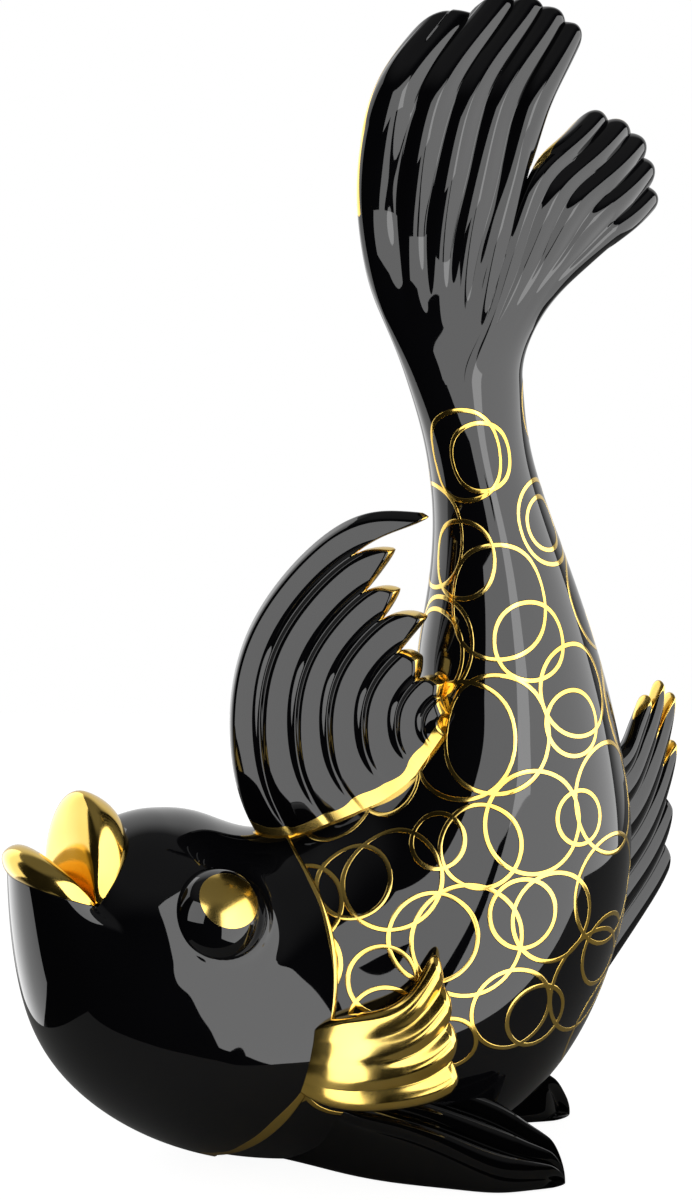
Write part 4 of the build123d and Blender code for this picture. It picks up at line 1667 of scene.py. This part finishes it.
@dataclass
class Studio:
    """Camera, soft lamps, white floor and surroundings, in metres."""

    distance: float = 1.5
    elevation: float = 13.0           # degrees
    aim_height: float = 0.1598
    lens: float = 160.7               # millimetres, on a sensor of 36
    floor_colour: str = "#F4F4F2"
    floor_mirrored: str = "#A8A8A6"   # how the floor shows in the glaze
    # white that the camera sees on the floor, and its share there: together under 1, so that the shadow stays
    floor_white: float = 1.35
    floor_share: float = 0.7
    backdrop: Rise = Rise("Y", 0.4, 0.8, 0.01, 0.8)
    ceiling: Rise = Rise("Z", 0.55, 0.85, 0.01, 0.15)
    fill: float = 0.35                # radiance of the surroundings as a light
    table: tuple[tuple[float, float], tuple[float, float]] = ((-0.14, -0.1), (0.4, 0.5))
    softboxes: tuple[Softbox, ...] = (
        Softbox("right_softbox", (0.693, -0.253, 0.04), 2.0, 1.28, 3.2, (-0.202, 0.193, 0.04),
                ALL_BUT_VENTRALS),
        Softbox("head_softbox", (0.693, -0.253, 0.93), 2.0, 0.5, 3.2, (-0.202, 0.193, 0.93),
                ("head_shell",)),
        Softbox("left_softbox", (-0.95, 0.62, 0.25), 1.3, 1.8, 1.5, (0.0, 0.0, 0.25)),
        Softbox("fin_card", (-0.53, -0.6, -0.05), 0.4, 0.62, 2.8, only=FINS),
        # one card over the other, edge to edge
        Softbox("chest_card", (-0.05, -1.9, 0.875), 1.8, 1.05, 2.8, (-0.05, 0.0, 0.875), TRUNK_AND_TAIL),
        Softbox("front_card", (0.0, -1.9, -0.175), 0.5, 1.05, 2.8, (0.0, 0.0, -0.175), TRUNK_AND_TAIL),
        Softbox("eye_card", (-0.75, -0.7, 0.5), 0.8, 0.8, 2.6, (-0.05, -0.03, 0.08), ("left_eye",)),
    )

    def build(self, pieces: dict[str, bpy.types.Object]) -> None:
        """Sets up the whole studio.

        Args:
            pieces: the figurine's pieces by node.
        """
        self._camera()
        for softbox in self.softboxes:
            softbox.light(pieces)
        self._floor()
        self._world()
        bpy.context.scene.view_settings.view_transform = "Standard"

    def _camera(self) -> None:
        """Camera at the photograph's viewing angle."""
        lens = bpy.data.cameras.new("camera")
        lens.lens = self.lens
        lens.sensor_width = 36
        lens.clip_start, lens.clip_end = 0.05, 50
        holder = bpy.data.objects.new("camera", lens)
        tilt = math.radians(self.elevation)
        back, rise = self.distance * math.cos(tilt), self.distance * math.sin(tilt)
        holder.location = (0, -back, self.aim_height + rise)
        holder.rotation_euler = (math.radians(90) - tilt, 0, 0)
        bpy.context.scene.collection.objects.link(holder)
        bpy.context.scene.camera = holder

    def _floor(self) -> None:
        """White matt floor, shown white to the camera with the object's soft shadow on it."""
        mesh = bpy.data.meshes.new("floor")
        (left, front), (right, back) = self.table
        corners = [(left, front, 0), (right, front, 0), (right, back, 0), (left, back, 0)]
        mesh.from_pydata(corners, [], [(0, 1, 2, 3)])
        floor = bpy.data.objects.new("floor", mesh)
        bpy.context.scene.collection.objects.link(floor)
        material, tree = new_material("white_paper")
        path = add_node(tree, "ShaderNodeLightPath")
        shade = add_node(
            tree, "ShaderNodeMix", {"data_type": "RGBA"}, _0=path.outputs["Is Glossy Ray"],
            _6=linear(self.floor_colour), _7=linear(self.floor_mirrored),
        )
        paper = add_node(tree, "ShaderNodeBsdfDiffuse", Color=shade.outputs[2])
        white = add_node(tree, "ShaderNodeEmission", Color=linear("#FFFFFF"), Strength=self.floor_white)
        seen = path.outputs["Is Camera Ray"]
        share = add_node(tree, MATH, {"operation": "MULTIPLY"}, _0=seen, _1=self.floor_share)
        shader = add_node(
            tree, "ShaderNodeMixShader", _0=share.outputs[0], _1=paper.outputs[0], _2=white.outputs[0],
        )
        add_node(tree, "ShaderNodeOutputMaterial", Surface=shader.outputs[0])
        mesh.materials.append(material)

    def _world(self) -> None:
        """Surroundings: white to the camera, pale behind and dim above to the glaze, and a faint light."""
        world = bpy.data.worlds.new("studio")
        bpy.context.scene.world = world
        world.use_nodes = True
        tree = world.node_tree
        tree.nodes.clear()
        path = add_node(tree, "ShaderNodeLightPath")
        direction = add_node(tree, "ShaderNodeTexCoord").outputs["Generated"]
        split = add_node(tree, SPLIT, Vector=direction)
        backdrop, ceiling = (
            add_node(
                tree, "ShaderNodeMapRange", {"interpolation_type": "SMOOTHSTEP"},
                Value=split.outputs[rise.axis], From_Min=rise.start, From_Max=rise.end,
                To_Min=rise.low, To_Max=rise.high,
            ).outputs["Result"]
            for rise in (self.backdrop, self.ceiling)
        )
        room = add_node(tree, MATH, {"operation": "MAXIMUM"}, _0=backdrop, _1=ceiling).outputs[0]
        sharp = add_node(
            tree, MATH, {"operation": "MAXIMUM"},
            _0=path.outputs["Is Glossy Ray"], _1=path.outputs["Is Transmission Ray"],
        ).outputs[0]
        reflected = add_node(
            tree, "ShaderNodeMix", {"data_type": "FLOAT"}, _0=sharp, _2=self.fill, _3=room,
        ).outputs[0]
        seen = path.outputs["Is Camera Ray"]
        strength = add_node(
            tree, "ShaderNodeMix", {"data_type": "FLOAT"}, _0=seen, _2=reflected, _3=1.0,
        ).outputs[0]
        back = add_node(tree, "ShaderNodeBackground", Color=linear("#FFFFFF"), Strength=strength)
        add_node(tree, "ShaderNodeOutputWorld", Surface=back.outputs[0])


# Figurine

SEAM_WAVE = 45.0       # longest wave of the wobble of a gold seam line, in millimetres
SEAM_WOBBLE = 0.3      # its height, as a share of the line's width
SEAM_SEARCH = 2.5      # how far from a point the seam is looked for, in widths of the line
SEAM_SEEDS = (21, 22)  # for the line on the fin and for the one on the skin


def near_gilding(piece: bpy.types.Object, other: bpy.types.Object, width: float, seed: int) -> None:
    """Gilds a line on a piece along the seam where it meets another.

    Args:
        piece: the piece that takes the gold.
        other: the piece that it meets.
        width: width of the line in millimetres.
        seed: picks the wobble of its edge.
    """
    graph = bpy.context.evaluated_depsgraph_get()
    tree = BVHTree.FromObject(other, graph)
    layer = piece.data.attributes[GILT].data
    count = len(layer)
    old = np.zeros(count, np.float32)
    layer.foreach_get("value", old)
    places = np.zeros(count * 3, np.float32)
    piece.data.vertices.foreach_get("co", places)
    places = places.reshape(-1, 3)
    wobble = SEAM_WOBBLE * waver((places[:, 0] + places[:, 2]) / MM, SEAM_WAVE, seed)
    reach = width * SEAM_SEARCH * MM
    for index, place in enumerate(places):
        _, _, _, distance = tree.find_nearest(Vector(place), reach)
        if distance is not None:
            old[index] = max(old[index], width * (1 + wobble[index]) - distance / MM)
    layer.foreach_set("value", old)


def main() -> None:
    """Builds the figurine and its studio."""
    finishes = Finishes(BlackGlaze(), FiredGold())
    body = Body()
    mouth = Mouth()
    dorsal = DorsalFin()
    trunk = Trunk(body).build()
    upper_lobe, lower_lobe = Tail(body).build()
    glazed = {
        "trunk_shell": trunk,
        "head_shell": Head(body, mouth).build(),
        "left_eye": Eye(body, Side.LEFT).build(),
        "right_eye": Eye(body, Side.RIGHT).build(),
        "tail_upper_lobe": upper_lobe,
        "tail_lower_lobe": lower_lobe,
        "dorsal_fin": dorsal.build(),
        "anal_fin": AnalFin().build(),
        "left_ventral_fin": VentralFin(Side.LEFT).build(),
        "right_ventral_fin": VentralFin(Side.RIGHT, swing=-7.0).build(),
    }
    gilded = {
        "upper_lip": Lip("upper_lip_roll", mouth, mouth.upper_profile).build(),
        "lower_lip": Lip("lower_lip_roll", mouth, mouth.lower_profile).build(),
        "left_pectoral_fin": PectoralFin(Side.LEFT).build(),
        "right_pectoral_fin": PectoralFin(Side.RIGHT).build(),
    }
    for skin in (trunk, glazed["head_shell"]):
        near_gilding(glazed["dorsal_fin"], skin, dorsal.base_line, SEAM_SEEDS[0])
        near_gilding(skin, glazed["dorsal_fin"], dorsal.base_spread * dorsal.base_line, SEAM_SEEDS[1])
    for node, piece in glazed.items():
        dress(piece, finishes.glaze, Slot.GLAZE, node)
    for node, piece in gilded.items():
        dress(piece, finishes.gold, Slot.GOLD, node)
    # two rounds, each spread evenly, so that rings of one lie over rings of the other
    rounds = (Rings("gold_rings_first", 7), Rings("gold_rings_second", 18))
    rings = {each.name: each.build((trunk, upper_lobe, lower_lobe), finishes.gold) for each in rounds}
    for piece in rings.values():
        dress(piece, finishes.gold, Slot.GOLD)
    Studio().build({**glazed, **gilded, **rings})


if __name__ == "__main__":
    main()
